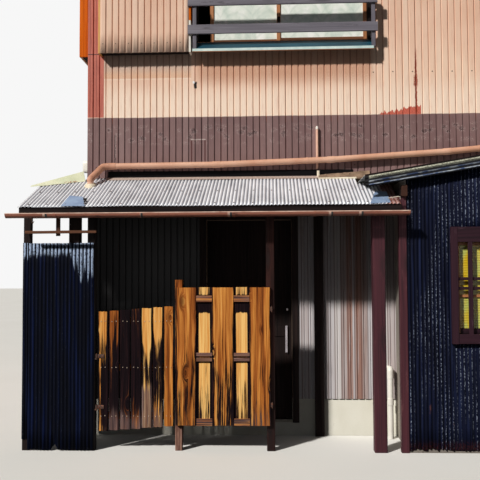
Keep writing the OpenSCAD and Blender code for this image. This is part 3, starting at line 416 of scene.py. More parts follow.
def navy_finish(name, flecks, chalk_z=None):
    """Navy corrugated sheet: chalky crests, painted shade in troughs and, under a sunny top edge, pale faded
    streaks.
    """
    f = Finish(name, 0.65, Specular_IOR_Level=0.06)
    px, _, pz = f.split(f.place)
    crest = f.attribute("crest")
    streaks = f.noise(f.place, (34, 34, 1.5), 5)
    speck = f.noise(f.place, (150, 150, 60), 4)
    rim = f.ramp(crest, 0.72, 0.96) * f.ramp(speck, 0.6 - 0.14 * flecks, 0.7 - 0.1 * flecks)
    rim = rim * f.ramp(f.noise(f.place, (9, 9, 1.2), 3), 0.4, 0.62)
    scrape = f.ramp(f.noise(f.stretch(f.place, (16, 16, 2.4), (3, 1, 0)), 1.0, 5, 0.6), 0.66, 0.72)
    if chalk_z:
        colour = f.shades(streaks, (0.3, (2, 3, 10)), (0.5, (4, 7, 20)), (0.66, (12, 22, 54)))
        low = f.band(px, corner.x - 0.16, corner.x - 0.03, 0.03) * f.ramp(pz, 0.62, 0.4)
        # the drips grow longer towards the house
        longer = f.ramp(px, corner.x - 0.02, corner.x + 0.14, 1.0, 2.3)
        depth = f.noise(f.place, (30, 30, 0), 3) * longer * 0.26
        run = f.ramp(pz - chalk_z + depth, 0.0, 0.05) * f.ramp(crest, 0.2, 0.6) * f.ramp(speck, 0.36, 0.5)
        last = run, f.mix(speck, (206, 222, 240), (84, 110, 158))
    else:
        colour = f.shades(streaks, (0.3, (5, 8, 20)), (0.5, (11, 15, 34)), (0.72, (26, 34, 62)))
        low = f.ramp(pz, 0.95, 0.1)
        last = f.ramp(pz, 0.12, 0.03) * f.ramp(speck, 0.42, 0.55) * 0.3, (112, 54, 36)
    colour = f.coats(
        # the first coat is painted shade in the troughs
        colour, (f.ramp(crest, 0.35, 0.0, 0, 0.75), (2, 2, 7)),
        (rim * (0.12 if chalk_z else 0.9), (150, 160, 182)),
        (scrape * low * f.ramp(crest, 0.4, 0.8), (112, 72, 62)), last)
    return f.done(colour, 0.65, f.bump(speck, 0.0005, 0.5))


def galvanised_finish(name):
    """Zinc sheet in the porch: grey and pinkish stripes with two strips of orange rust."""
    f = Finish(name, Specular_IOR_Level=0.25)
    px, _, pz = f.split(f.place)
    across = px - corner.x
    flat = f.join(across, 0.0, pz)
    rib_tone = f.noise(f.join(f.math("FLOOR", across / RIB_PITCH), 0.0, 0.0), 3.7, 0)
    fine = f.noise(flat, (60, 1, 2.4), 5)
    speck = f.noise(flat, 130, 4)
    rust = f.mix(speck, (170, 122, 102), (130, 90, 78))
    ribs = f.math("FRACT", (across - 0.013) / RIB_PITCH)
    colour = f.coats(
        f.shades(rib_tone * 0.7 + fine * 0.3, (0.3, (158, 134, 128)), (0.42, (188, 178, 178)),
                 (0.55, (208, 206, 210)), (0.7, (212, 206, 204))),
        *((f.band(across, low, high, 0.006) * f.ramp(fine, 0.28, 0.5) * 0.85, rust)
          for low, high in ((2.435, 2.49), (2.515, 2.575))),
        (f.ramp(f.noise(flat, (12, 1, 1.2), 5, 0.65), 0.6, 0.72, 0, 0.55), (146, 112, 104)),
        # the grooves are painted darker, partly dirt and partly painted shade
        (f.band(ribs, GROOVE_MIDDLE - 0.08, GROOVE_MIDDLE + 0.08, 0.05) * 0.7, (96, 66, 62)),
        # the sheets on the far side of the door are painted near black, a painted shadow
        (f.ramp(across, 1.16, 1.12), f.mix(f.ramp(fine, 0.4, 0.7), (4, 3, 5), (12, 9, 11))))
    return f.done(colour, f.ramp(speck, 0.3, 0.7, 0.5, 0.7), f.bump(speck, 0.0008, 0.5))


def plain_finish(name, light, dark, scale=3.0, roughness=0.6, metallic=0.0, speck_depth=0.0008,
                 stain=None, stain_share=0.0, stretch=(1, 1, 1)):
    """A coat of one tone with broad clouds, fine grit and, if given, stains of another colour."""
    f = Finish(name, roughness, metallic)
    cloudy = f.stretch(f.place, stretch)
    speck = f.noise(f.place, 140, 4)
    colour = f.shades(f.noise(cloudy, scale, 4) * 0.75 + speck * 0.25, (0.34, dark), (0.64, light))
    if stain:
        mask = f.ramp(f.noise(cloudy, scale * 4, 6, 0.7), 0.75 - stain_share, 0.8 - stain_share)
        colour = f.mix(mask * 0.8, colour, stain)
    rough = f.ramp(speck, 0.3, 0.7, max(0.05, roughness - 0.08), min(1, roughness + 0.1))
    return f.done(colour, rough, f.bump(speck, speck_depth, 0.6))


def frosted_finish(name):
    """Frosted pane: pale green white with soft lumps and faint arches, slightly see-through."""
    f = Finish(name, 0.3, Transmission_Weight=0.03, IOR=1.45)
    px, py, pz = f.split(f.place)
    lumps = f.noise(f.place, (9, 9, 5), 3, 0.5, 0.6)
    bay = f.math("FRACT", (px + py) / 0.31) - 0.5
    arches = f.math("SINE", (pz + bay * bay * 0.5 + lumps * 0.05) * (2 * math.pi / 0.085))
    colour = f.shades(lumps, (0.3, (208, 222, 212)), (0.5, (236, 243, 234)), (0.66, (252, 254, 250)))
    colour = f.mix(f.ramp(arches, 0.0, 1.0, 0, 0.22), colour, (184, 200, 192))
    return f.done(colour, 0.3, f.bump(lumps + f.noise(f.place, 60, 3) * 0.2, 0.004, 0.6))


def amber_finish(name):
    """Amber reeded pane: yellow with greenish and orange bands and fine level ribs."""
    f = Finish(name, 0.22, Transmission_Weight=0.2, IOR=1.5)
    ribs = f.math("SINE", f.split(f.place)[2] * (2 * math.pi / 0.021))
    bands = f.noise(f.place, (5, 5, 2.2), 3, 0.5, 0.8)
    colour = f.shades(bands, (0.3, (196, 142, 18)), (0.45, (236, 200, 44)), (0.58, (206, 214, 110)),
                      (0.72, (228, 158, 20)))
    colour = f.mix(f.ramp(ribs, 0.2, 1.0, 0, 0.35), colour, (120, 84, 14))
    return f.done(colour, 0.22, f.bump(ribs, 0.0012, 0.5))


def verge_finish(name):
    """Verge strip of the bay roof: rough grey green on top; below, pale blue painted crest highlights over
    painted shade.
    """
    f = Finish(name, 0.7, Specular_IOR_Level=0.2)
    px, _, pz = f.split(f.place)
    bottom = 2.215 + (px - (corner.x + 2.53)) * 0.165
    speck = f.noise(f.place, 90, 5, 0.7)
    rough = f.noise(f.place, (9, 9, 30), 5, 0.7)
    height = (pz - bottom) / 0.09 + (rough - 0.5) * 0.10
    blue = f.mix(f.ramp(rough, 0.42, 0.6), (70, 88, 128), (196, 206, 216))
    colour = f.coats(
        (3, 3, 8),
        (f.ramp(height, 0.72, 0.78), f.mix(f.ramp(speck, 0.4, 0.62), (196, 198, 180), (112, 112, 98))),
        # both pale blue bands are painted highlights on the crests, over near black painted shade
        (f.band(height, 0.42, 0.53, 0.025), blue), (f.band(height, 0.12, 0.22, 0.025), blue),
        (f.ramp(height, 0.98, 1.06), (8, 8, 14)),
        (f.ramp(px, corner.x + 2.566, corner.x + 2.556), (4, 4, 8)))
    return f.done(colour, 0.7, f.bump(speck, 0.002, 0.7))


def head_flashing_finish(name):
    """Flat sheet at the wall: a pale pinkish leg on the roof below an upstand painted black as the pipe's
    shadow.
    """
    f = Finish(name, 0.7, Specular_IOR_Level=0.08)
    worn = f.ramp(f.noise(f.place, 120, 4), 0.4, 0.7)
    leg = f.mix(worn, (190, 172, 162), (132, 108, 98))
    # the upstand's black is a painted shadow of the drain pipe
    dark = f.mix(worn, (4, 3, 5), (10, 7, 8))
    return f.done(f.mix(f.ramp(f.split(f.place)[1], corner.y - 0.008, corner.y - 0.005), leg, dark), 0.7)


def floor_finish(name):
    """Pale floor that throws only a little light back up at the object."""
    f = Finish(name, 0.95, Specular_IOR_Level=0.1)
    pale = f.mix(f.noise(f.place, 0.7, 2), (228, 227, 223), (236, 235, 232))
    return f.done(f.mix(f.seen(), (24, 24, 23), pale), 0.95)


DARK_TIMBER = (36, 24, 22), (14, 9, 10), 0.8
MATERIALS = {
    "cladding": cladding_finish("peach_cladding", "front"),
    "cladding_left": cladding_finish("peach_cladding_left", "left", HOUSE_D - 0.013, False),
    "cladding_rear": cladding_finish("peach_cladding_rear", "rear", HOUSE_W, False),
    "box_front": cladding_finish("peach_box_front", "front", 0.144, False),
    "box_left": cladding_finish("peach_box_left", "left", 0.982, False),
    "box_wood": wood_finish("vivid_orange_board", (218, 106, 6), (156, 58, 4), 0.8, specular=0.15),
    "box_strip": wood_finish("gold_strip", (224, 172, 98), (158, 104, 50)),
    "verge": verge_finish("verge_strip"),
    "galvanised": galvanised_finish("old_zinc"),
    "roof": corrugated_finish("dusty_roof_sheet_painted_highlights_and_shade", (240, 242, 250), (206, 209, 219), (146, 147, 158),
                              rusty_from=2.70),
    "bay_roof": corrugated_finish("bay_roof_sheet", (188, 190, 184), (140, 142, 140), (84, 86, 92), 0.03,
                                  "x"),
    "main_roof": corrugated_finish("main_roof_sheet", (176, 172, 176), (140, 134, 138), (98, 90, 92), 0.04),
    "navy_screen": navy_finish("navy_screen_sheet", 0.02, street_box("left_bay_sheet")[1].z),
    "navy_bay": navy_finish("navy_bay_sheet", 0.75),
    "gate": gate_finish("weathered_cedar"),
    "dark": wood_finish("dark_timber", *DARK_TIMBER, specular=0.15),
    "dark_x": wood_finish("dark_timber_x", *DARK_TIMBER, axis="x", specular=0.15),
    "dark_y": wood_finish("dark_timber_y", (40, 28, 25), (18, 12, 12), 0.8, axis="y", specular=0.15),
    "dark_z": wood_finish("dark_timber_z", *DARK_TIMBER, axis="z", specular=0.15),
    "batten": wood_finish("weathered_batten", (118, 76, 52), (58, 34, 25), 0.75, specular=0.2),
    "purple": wood_finish("purple_brown_paint", (76, 36, 44), (42, 15, 24), 0.55, 0.0, (94, 56, 60), None,
                          0.0006, 0.25),
    "bay_frame": wood_finish("dark_purple_paint", (50, 26, 36), (24, 10, 18), 0.6, 0.0, (86, 64, 74), None,
                             0.0006, 0.15),
    "orange": wood_finish("orange_varnish", (186, 124, 76), (116, 66, 38), 0.5, gloss=0.12),
    "grey": wood_finish("grey_painted_board", (120, 116, 126), (86, 82, 92), 0.55, wear=(60, 54, 60),
                        relief=0.0006),
    "plain_wood": wood_finish("plain_timber_y", (176, 140, 98), (120, 86, 56), axis="y"),
    "red_post": wood_finish("red_brown_post", (48, 18, 12), (9, 3, 4), 0.75, specular=0.2),
    "head_flashing": head_flashing_finish("head_flashing_sheet"),
    "frosted": frosted_finish("frosted_glass"),
    "amber": amber_finish("amber_glass"),
}
# name of the material, light and dark tone, then scale, roughness, metallic, depth of the grit,
# colour, share and stretch of the stains
PLAIN = {
    "pale_nail": ("pale_nail_head", (214, 196, 176), (158, 132, 112), 40.0, 0.5, 0.2, 0.0003),
    "plinth": ("cream_plinth", (252, 250, 238), (228, 224, 208), 2.4, 0.8, 0, 0.002, (164, 152, 132), 0.08,
               (1, 1, 0.5)),
    "slab": ("bare_slab", (176, 170, 158), (132, 126, 116), 3.0, 0.85, 0, 0.003, (92, 86, 78), 0.08),
    "party": ("weathered_render", (150, 142, 132), (112, 104, 98), 1.2, 0.85, 0, 0.004, (84, 74, 66), 0.16,
              (2, 2, 0.5)),
    "core": ("earth_plaster", (126, 104, 84), (88, 70, 56), 2.0, 0.9, 0, 0.003),
    "pipe": ("tan_peach_pipe", (216, 171, 145), (188, 132, 104), 3.2, 0.5, 0, 0.0004, (176, 112, 82), 0.08),
    "elbow": ("brown_elbow", (204, 150, 122), (158, 108, 84), 14.0, 0.6, 0, 0.0006, (186, 176, 166), 0.12),
    "conduit": ("wall_coloured_cover", (228, 184, 162), (206, 156, 134), 5.0, 0.5, 0, 0.0004),
    "gutter": ("coral_gutter", (188, 120, 98), (142, 84, 68), 3.0, 0.5, 0, 0.0004, (66, 34, 28), 0.16,
               (0.6, 3, 3)),
    # the pale edge finish is a painted highlight on the rolled front edge, and the sleeves share it
    "gutter_edge": ("gutter_edge_highlight_and_sleeves", (232, 200, 182), (184, 138, 120), 12.0, 0.5, 0, 0.0004),
    "white": ("white_plastic", (244, 240, 232), (222, 217, 207), 5.0, 0.4, 0, 0.0004, (168, 158, 140), 0.06),
    "flashing": ("dull_flashing", (200, 190, 176), (150, 138, 128), 4.0, 0.55, 0.1, 0.001, (92, 60, 46),
                 0.16, (1, 3, 3)),
    "green": ("faded_green", (232, 232, 204), (196, 202, 168), 6.0, 0.55, 0, 0.0008, (142, 72, 38), 0.17),
    "blue": ("blue_grey_sheet", (146, 168, 198), (92, 116, 156), 6.0, 0.45, 0.1, 0.0008, (200, 208, 220),
             0.12),
    "pale_mortar": ("pale_mortar", (232, 222, 200), (196, 180, 154), 16.0, 0.95, 0, 0.005),
    "mortar": ("valley_mortar", (158, 132, 108), (98, 78, 62), 14.0, 0.95, 0, 0.006, (70, 52, 42), 0.2),
    "iron": ("rusty_iron", (92, 66, 54), (40, 28, 26), 30.0, 0.7, 0.35, 0.001, (128, 66, 36), 0.2),
    "steel": ("satin_pull", (206, 200, 206), (160, 152, 158), 20.0, 0.3, 0.7, 0.0003),
    "teal": ("teal_sill", (16, 70, 88), (8, 48, 64), 6.0, 0.5, 0, 0.0006, (96, 128, 130), 0.06, (0.5, 2, 2)),
    "sill_edge": ("pale_sill_edge", (226, 240, 234), (176, 206, 204), 9.0, 0.4, 0, 0.0004),
    # black is the seal beside each sleeve and the strip that stands in for shade in the gutter's slit
    "black": ("black_seal_and_shade_strip", (40, 38, 40), (20, 18, 20), 20.0),
}
MATERIALS.update({key: plain_finish(*row) for key, row in PLAIN.items()})


# Mesh building


class Piece:
    """A mesh gathered from many small solids. Each vertex keeps a grain place, a shade and wear marks."""

    LAYERS = ("shade", "crest", "burn", "grey")

    def __init__(self):
        self.verts, self.faces, self.kinds, self.grain = [], [], [], []
        self.marks = {k: [] for k in self.LAYERS}

    def add(self, verts, faces, kind=0, grain=None, **marks):
        start = len(self.verts)
        self.verts += [tuple(v) for v in verts]
        self.faces += [tuple(start + i for i in face) for face in faces]
        self.kinds += [kind] * len(faces)
        self.grain += [tuple(g) for g in (grain if grain is not None else verts)]
        for k in self.LAYERS:
            value = marks.get(k, 0.5)
            self.marks[k] += list(value) if hasattr(value, "__len__") else [value] * len(verts)

    def build(self, name, materials, slot, body="house", replaces=(), smooth=40.0, shell=0.0):
        """Makes the object. Edges up to smooth degrees are shaded smoothly, and shell thickens a sheet."""
        mesh = bpy.data.meshes.new(name)
        mesh.from_pydata(self.verts, [], self.faces)
        for m in materials.split():
            mesh.materials.append(MATERIALS[m])
        mesh.polygons.foreach_set("material_index", self.kinds)
        layer = mesh.attributes.new("grain", "FLOAT_VECTOR", "POINT")
        layer.data.foreach_set("vector", np.array(self.grain, np.float32).ravel())
        for k in self.LAYERS:
            layer = mesh.attributes.new(k, "FLOAT", "POINT")
            layer.data.foreach_set("value", np.array(self.marks[k], np.float32))
        shaped = bmesh.new()
        shaped.from_mesh(mesh)
        bmesh.ops.recalc_face_normals(shaped, faces=shaped.faces)
        shaped.to_mesh(mesh)
        shaped.free()
        made = bpy.data.objects.new(name, mesh)
        bpy.context.scene.collection.objects.link(made)
        mesh.polygons.foreach_set("use_smooth", [True] * len(mesh.polygons))
        mesh.set_sharp_from_angle(angle=math.radians(smooth))
        if shell:
            thick = made.modifiers.new("sheet", "SOLIDIFY")
            thick.thickness = shell
            thick.offset = 0.0
        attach(made, body)
        if replaces:
            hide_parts(*replaces)


def wobble(seed, t, size=1.0):
    """Smooth noise from -1 to 1 along t, different for each seed."""
    return noise.noise(Vector((seed * 17.31 + 0.5, t * size, seed * 3.7)))


def skin(rings, n):
    """Quads between rings of n points each."""
    return [(j * n + i, j * n + (i + 1) % n, (j + 1) * n + (i + 1) % n, (j + 1) * n + i)
            for j in range(rings - 1) for i in range(n)]


def circle(radius, count, x=0.0, y=0.0):
    """Points of a circle about x, y."""
    turns = [2 * math.pi * k / count for k in range(count)]
    return [(x + radius * math.cos(t), y + radius * math.sin(t)) for t in turns]


X, Y, Z = Vector((1, 0, 0)), Vector((0, 1, 0)), Vector((0, 0, 1))
AXES = {"x": X, "y": Y, "z": Z}


def board(piece, low, high, along="z", bevel=0.003, kind=0, seed=0, shade=0.5, rough=0.0,
          step=0.25, fine=None, bow=0.0, marks=None, ends=(0.0, 0.0)):
    """A board between two corners in street coordinates, with chamfered long edges.

    rough is how far its faces wander, fine the spacing of the points across it, bow a slight
    sideways bend, and ends how ragged its two ends are. marks(u, t) gives the wear marks from the
    place across (0 to 1) and along (0 to 1).
    """
    low, high = Vector(low), Vector(high)
    size = high - low
    length = size.dot(AXES[along])
    (b_size, b_axis), (a_size, a_axis) = sorted(
        ((size.dot(AXES[k]), AXES[k]) for k in reversed("xyz") if k != along), key=lambda pair: pair[0])
    bevel = min(bevel, a_size * 0.3, b_size * 0.3)
    count = max(1, round((a_size - 2 * bevel) / fine)) if fine else 1
    row = [bevel + (a_size - 2 * bevel) * i / count for i in range(count + 1)]
    ring = [(x, 0.0) for x in row] + [(a_size, bevel), (a_size, b_size - bevel)]
    ring += [(x, b_size) for x in reversed(row)] + [(0.0, b_size - bevel), (0.0, bevel)]
    steps = max(1, math.ceil(length / step))
    verts, grain, wear = [], [], []
    for j in range(steps + 1):
        share = j / steps
        shift = bow * math.sin(math.pi * share) + rough * 0.6 * wobble(seed + 5, share * length, 3.0)
        for a, b in ring:
            end = ends[0] if j == 0 else ends[1] if j == steps else 0.0
            ragged = end * (0.5 + 0.5 * wobble(seed + 9, a, 60.0)) * (1 if j == 0 else -1)
            t = share * length + ragged
            push = rough * noise.noise(Vector((a * 25 + seed, b * 25, t * 4)))
            outward = ((a / a_size) - 0.5) * 2, ((b / b_size) - 0.5) * 2
            p = low + a_axis * (a + shift + push * outward[0] * 0.5)
            p += b_axis * (b + push * outward[1]) + AXES[along] * t
            verts.append(at(*p))
            grain.append((a + seed * 1.37, b + seed * 0.61, t + seed * 2.9))
            wear.append(marks(a / a_size, t / length) if marks else (0.5, 0.5))
    faces = skin(steps + 1, len(ring))
    # each end is a strip of quads between the two long sides of the ring
    for first in (0, steps * len(ring)):
        caps = [(i, i + 1, 2 * count + 2 - i, 2 * count + 3 - i) for i in range(count)]
        caps += [(0, 2 * count + 3, 2 * count + 4, 2 * count + 5), (count, count + 1, count + 2, count + 3)]
        faces += [tuple(first + i for i in cap) for cap in caps]
    burn, grey = zip(*wear)
    piece.add(verts, faces, kind, grain, shade=shade, burn=burn, grey=grey)


def smooth_path(points, bend, steps=7):
    """The points of a path with its corners turned into arcs of about the radius bend."""
    points = [Vector(p) for p in points]
    out = [points[0]]
    for before, here, after in zip(points, points[1:], points[2:]):
        u, v = (before - here).normalized(), (after - here).normalized()
        reach = min(bend * math.tan((math.pi - u.angle(v)) / 2), (before - here).length * 0.45,
                    (after - here).length * 0.45)
        a, b = here + u * reach, here + v * reach
        for s in (k / steps for k in range(steps + 1)):
            out.append(a * (1 - s) ** 2 + here * 2 * s * (1 - s) + b * s ** 2)
    return out + [points[-1]]


def tube(piece, points, radius, kind=0, sides=20):
    """A round bar along points in street coordinates."""
    points = [at(*p) for p in points]
    verts, grain, up = [], [], None
    travelled = 0.0
    for i, p in enumerate(points):
        ahead = (points[min(i + 1, len(points) - 1)] - points[max(i - 1, 0)]).normalized()
        if up is None:
            up = Z if abs(ahead.z) < 0.9 else X
        side = ahead.cross(up).normalized()
        up = side.cross(ahead).normalized()
        travelled += (p - points[i - 1]).length if i else 0
        for a, b in circle(1.0, sides):
            verts.append(p + (side * a + up * b) * radius)
            grain.append((radius * a, radius * b, travelled))
    faces = skin(len(points), sides)
    faces += [tuple(range(sides - 1, -1, -1)), tuple((len(points) - 1) * sides + k for k in range(sides))]
    piece.add(verts, faces, kind, grain)


def dome(piece, centre, radius, height, facing=(0, -1, 0), kind=0, sides=8):
    """A low round head, such as a nail or screw, on a face that looks along facing."""
    centre, facing = Vector(centre), Vector(facing).normalized()
    side = facing.orthogonal().normalized()
    up = facing.cross(side)
    verts = []
    for share, rise in ((1.0, 0.0), (0.85, 0.6), (0.45, 0.95)):
        for a, b in circle(1.0, sides):
            verts.append(at(*(centre + (side * a + up * b) * radius * share + facing * height * rise)))
    verts += [at(*(centre + facing * height)), at(*centre)]
    n = sides
    faces = skin(3, n) + [(2 * n + k, 2 * n + (k + 1) % n, 3 * n) for k in range(n)]
    faces += [((k + 1) % n, k, 3 * n + 1) for k in range(n)]
    piece.add(verts, faces, kind)


def profile_sheet(piece, origin, across, along, out, columns, length, shape, kind=0, rows=6,
                  low=None, high=None, holes=(), dent=0.0):
    """A formed sheet without thickness. columns are its places across, shape(u) its lift there.

    low(u) and high(u) shorten its two ends, holes (u0, u1, v0, v1) are left open, and dent is how
    far it buckles out of its plane.
    """
    origin, across, along, out = Vector(origin), Vector(across), Vector(along), Vector(out)
    levels = {length * j / rows for j in range(rows + 1)}
    levels = sorted(levels | {round(v, 6) for hole in holes for v in hole[2:]})
    columns = sorted({round(u, 6) for hole in holes for u in hole[:2]} | {round(u, 6) for u in columns})
    top_lift = max(shape(u) for u in columns) or 1
    verts, crest, known = [], [], {}

    def point(u, v):
        v = min(max(v, low(u) if low else 0.0), high(u) if high else length)
        key = (u, round(v, 6))
        if key not in known:
            known[key] = len(verts)
            lift = shape(u)
            p = origin + across * u + along * v
            verts.append(at(*(p + out * (lift + dent * noise.noise(p * 1.9)))))
            crest.append(lift / top_lift)
        return known[key]

    faces = []
    for v0, v1 in zip(levels, levels[1:]):
        for u0, u1 in zip(columns, columns[1:]):
            middle_u, middle_v = (u0 + u1) / 2, (v0 + v1) / 2
            if any(h[0] < middle_u < h[1] and h[2] < middle_v < h[3] for h in holes):
                continue
            face = [point(u0, v0), point(u1, v0), point(u1, v1), point(u0, v1)]
            face = [a for i, a in enumerate(face) if a != face[i - 1]]
            if len(face) > 2:
                faces.append(face)
    piece.add(verts, faces, kind, crest=crest)


def waves(piece, origin, across, along, out, width, length, pitch, depth, first=0.0, **rest):
    """A corrugated sheet: waves across from first to width, straight along."""
    per_wave = 8
    count = math.ceil((width - first) / pitch * per_wave - 1e-6)
    columns = [first + pitch * i / per_wave for i in range(count)] + [width]
    profile_sheet(piece, origin, across, along, out, columns, length,
                  lambda u: depth * (0.5 - 0.5 * math.cos(2 * math.pi * u / pitch)), **rest)


def lapped(piece, origin, across, along, out, width, length, pitch, depth, waves_each, shell, **rest):
    """Corrugated sheets laid side by side, each lapped by one wave over or under the next."""
    origin, out = Vector(origin), Vector(out)
    first, lift = 0.0, 0.0
    while first < width - pitch:
        last = min(first + (waves_each + 1) * pitch, width)
        waves(piece, origin + out * lift, across, along, out, last, length, pitch, depth, first=first, **rest)
        first += waves_each * pitch
        lift = shell * 1.25 - lift


def ribbed(piece, origin, across, out, width, height):
    """Wall cladding that stands upright: wide ribs with a narrow groove between them."""
    flat, slope = 1 - RIB_GROOVE / RIB_PITCH, 0.3 * RIB_GROOVE / RIB_PITCH

    def shape(u):
        part = (u % RIB_PITCH) / RIB_PITCH
        if part < flat:
            return RIB_DEPTH
        return RIB_DEPTH * max(0.0, (flat + slope - part) / slope, (part - 1 + slope) / slope)

    columns = {0.0, width}
    for i in range(math.ceil(width / RIB_PITCH)):
        columns |= {i * RIB_PITCH + step * RIB_PITCH for step in (0, 0.25, 0.75, flat)}
        columns |= {(i + 1) * RIB_PITCH - RIB_GROOVE * s for s in (0.7, 0.3)}
    profile_sheet(piece, origin, across, Z, out, [u for u in columns if u <= width], height, shape)


def loft(piece, rings, kind=0, shade=0.5):
    """A solid through rings of points that all have the same count, closed at both ends."""
    n = len(rings[0])
    ends = [tuple(range(n)), tuple((len(rings) - 1) * n + i for i in range(n))]
    piece.add([at(*p) for ring in rings for p in ring], skin(len(rings), n) + ends, kind, shade=shade)


def half_ring(x, y, z, outer, inner=0.0):
    """The section of a half-round trough at x, open to the top, or of its end cap."""
    turns = [math.pi + math.pi * k / 16 for k in range(17)]
    ring = [(x, y + outer * math.cos(t), z + outer * math.sin(t)) for t in turns]
    return ring + [(x, y + inner * math.cos(t), z + inner * math.sin(t)) for t in reversed(turns) if inner]


def gutter(piece, left, right, y, z, r, brackets, collars, back, edge=0, gap=0):
    """A half-round gutter along X with a rolled front edge, end caps, joint sleeves and brackets.

    back is the Y of the board that the brackets are fixed to. edge is the material of the rolled
    edge and the sleeves, and gap that of the dark seal beside each sleeve.
    """
    def trough(ends, outer, inner, kind, shade=0.5):
        loft(piece, [half_ring(x, y, z, outer, inner) for x in ends], kind, shade)

    side = 1 if back > y else -1
    trough((left, right), r, r - 0.0025, 0)
    bead = y - side * (r - 0.002)
    tube(piece, [(left, bead, z), (right, bead, z)], 0.005, edge, 10)
    for x in (left, right - 0.004):
        trough((x, x + 0.004), r - 0.0005, 0.0, 0)
    for x in collars:
        trough((x - 0.018, x + 0.002), r + 0.0025, r, edge, 0.42)
        trough((x + 0.002, x + 0.018), r + 0.0018, r, gap, 0.42)
    for x in brackets:
        trough((x - 0.01, x + 0.01), r + 0.003, r + 0.0005, 0, 0.4)
        low, high = sorted((y + side * r, back))
        board(piece, (x - 0.01, low, z - 0.004), (x + 0.01, high, z + 0.004), "y", 0.001)


def pipe_with_elbows(piece, points, r, bend, elbow=0):
    """A pipe with a slightly wider elbow fitting at each of its corners."""
    points = [Vector(p) for p in points]
    for a, b in zip(points, points[1:]):
        tube(piece, [a, b], r)
    for before, here, after in zip(points, points[1:], points[2:]):
        first, last = (here + (p - here).normalized() * min(bend * 1.6, (p - here).length * 0.48)
                       for p in (before, after))
        tube(piece, smooth_path([first, here, last], bend), r + 0.0032, elbow)


# Camera, lights and floor

PHOTO_PX, FOCAL_PX, SENSOR = 480, 718.8, 36
CAMERA_AT, CAMERA_TURNS = (1.742, -6.721, 1.51), (2.5, 2.55, -0.25)
SUN_WAY, SUN_ENERGY, SUN_ANGLE = Vector((0.85, 1.0, -0.95)), 4.1, 4
SKY_STRENGTH, FLOOR_REACH = 0.06, 60.0
yaw, tilt, roll = (math.radians(a) for a in CAMERA_TURNS)
level = Vector((-math.sin(yaw), math.cos(yaw), 0))
right = Vector((math.cos(yaw), math.sin(yaw), 0))
ahead = level * math.cos(tilt) + Z * math.sin(tilt)
up = Z * math.cos(tilt) - level * math.sin(tilt)
turn = Matrix((right * math.cos(roll) + up * math.sin(roll), up * math.cos(roll) - right * math.sin(roll),
               -ahead))
camera = bpy.data.objects.new("camera", bpy.data.cameras.new("camera"))
camera.data.sensor_width = SENSOR
camera.data.lens = FOCAL_PX / PHOTO_PX * SENSOR
camera.data.clip_end = 300
camera.matrix_world = Matrix.Translation(at(*CAMERA_AT)) @ turn.transposed().to_4x4()
scene = bpy.context.scene
scene.collection.objects.link(camera)
scene.camera = camera
scene.view_settings.view_transform = "Standard"

sun = bpy.data.objects.new("sun", bpy.data.lights.new("sun", "SUN"))
sun.data.energy = SUN_ENERGY
sun.data.angle = math.radians(SUN_ANGLE)
sun.data.color = (1.0, 0.965, 0.91)
sun.rotation_euler = SUN_WAY.to_track_quat("-Z", "Y").to_euler()
scene.collection.objects.link(sun)

world = bpy.data.worlds.new("studio")
world.use_nodes = True
scene.world = world
sky = Tree(world.node_tree)
soft, white = sky.tree.nodes["Background"], sky.node("ShaderNodeBackground")
sky.feed(soft.inputs["Color"], (0.86, 0.93, 1.0, 1))
sky.feed(soft.inputs["Strength"], SKY_STRENGTH)
sky.feed(white.inputs["Color"], (0.93, 0.93, 0.93, 1))
choice = sky.made("ShaderNodeMixShader", 0, {
    0: sky.seen(), 1: Wire(sky, soft.outputs[0]), 2: Wire(sky, white.outputs[0])})
sky.feed(sky.tree.nodes["World Output"].inputs["Surface"], choice)

floor_mesh = bpy.data.meshes.new("floor")
floor_corners = [(x * FLOOR_REACH, y * FLOOR_REACH, 0) for x, y in ((-1, -1), (1, -1), (1, 1), (-1, 1))]
floor_mesh.from_pydata(floor_corners, [], [(0, 1, 2, 3)])
floor = bpy.data.objects.new("floor", floor_mesh)
floor.location.z = -0.001
floor.data.materials.append(floor_finish("pale_floor"))
scene.collection.objects.link(floor)

# CAD nodes that keep their shape and get a finish

KEPT = {
    "slab": "ground_floor", "plinth": "foundation", "party": "party_wall bay_walls",
    "core": "porch_wall_left porch_wall_right porch_wall_over_door upper_front_wall left_wall rear_wall",
    "plain_wood": "upper_floor roof_frame", "galvanised": "galvanised_sheets",
    "cladding": "front_cladding", "cladding_left": "left_cladding", "cladding_rear": "rear_cladding",
    "dark_z": "door_frame entrance_door", "dark_x": "lean_to_frame bay_roof_frame", "dark_y": "bargeboards",
    "head_flashing": "head_flashing", "iron": "gate_pintles", "main_roof": "ridge_cap", "amber": "bay_panes",
}
for material, kept_nodes in KEPT.items():
    for node in kept_nodes.split():
        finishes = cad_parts[node].data.materials
        finishes.clear()
        finishes.append(MATERIALS[material])

# The lean-to over the porch

SHEET = 0.0014
WAVE, WAVE_D = 0.0318, 0.009
EAVE_Y, EAVE_Z, TOP_Z = -0.760, 2.060, 2.391
LEAN_LEFT, LEAN_RIGHT = -0.400, 2.814
BAY_X, BAY_Z, BAY_SLOPE = 2.530, 2.310, 0.165
# the line of the sheet's oblique end, from its foot at the house corner
OBLIQUE_FOOT, OBLIQUE_TURN = -0.030, (0.150 - 0.035) / (0.495 - 0.008)
lean = math.atan2(TOP_Z - EAVE_Z, -EAVE_Y)
UP_SLOPE = Vector((0, math.cos(lean), math.sin(lean)))
OFF_SLOPE = Vector((0, -math.sin(lean), math.cos(lean)))


def lean_z(y, lift=0.0):
    """Height of the lean-to sheet's underside, or of a face that lies lift above it."""
    return TOP_Z + y * math.tan(lean) + lift / math.cos(lean)


def bay_z(x):
    """Height of the bay roof sheet's underside."""
    return BAY_Z + (x - BAY_X) * BAY_SLOPE


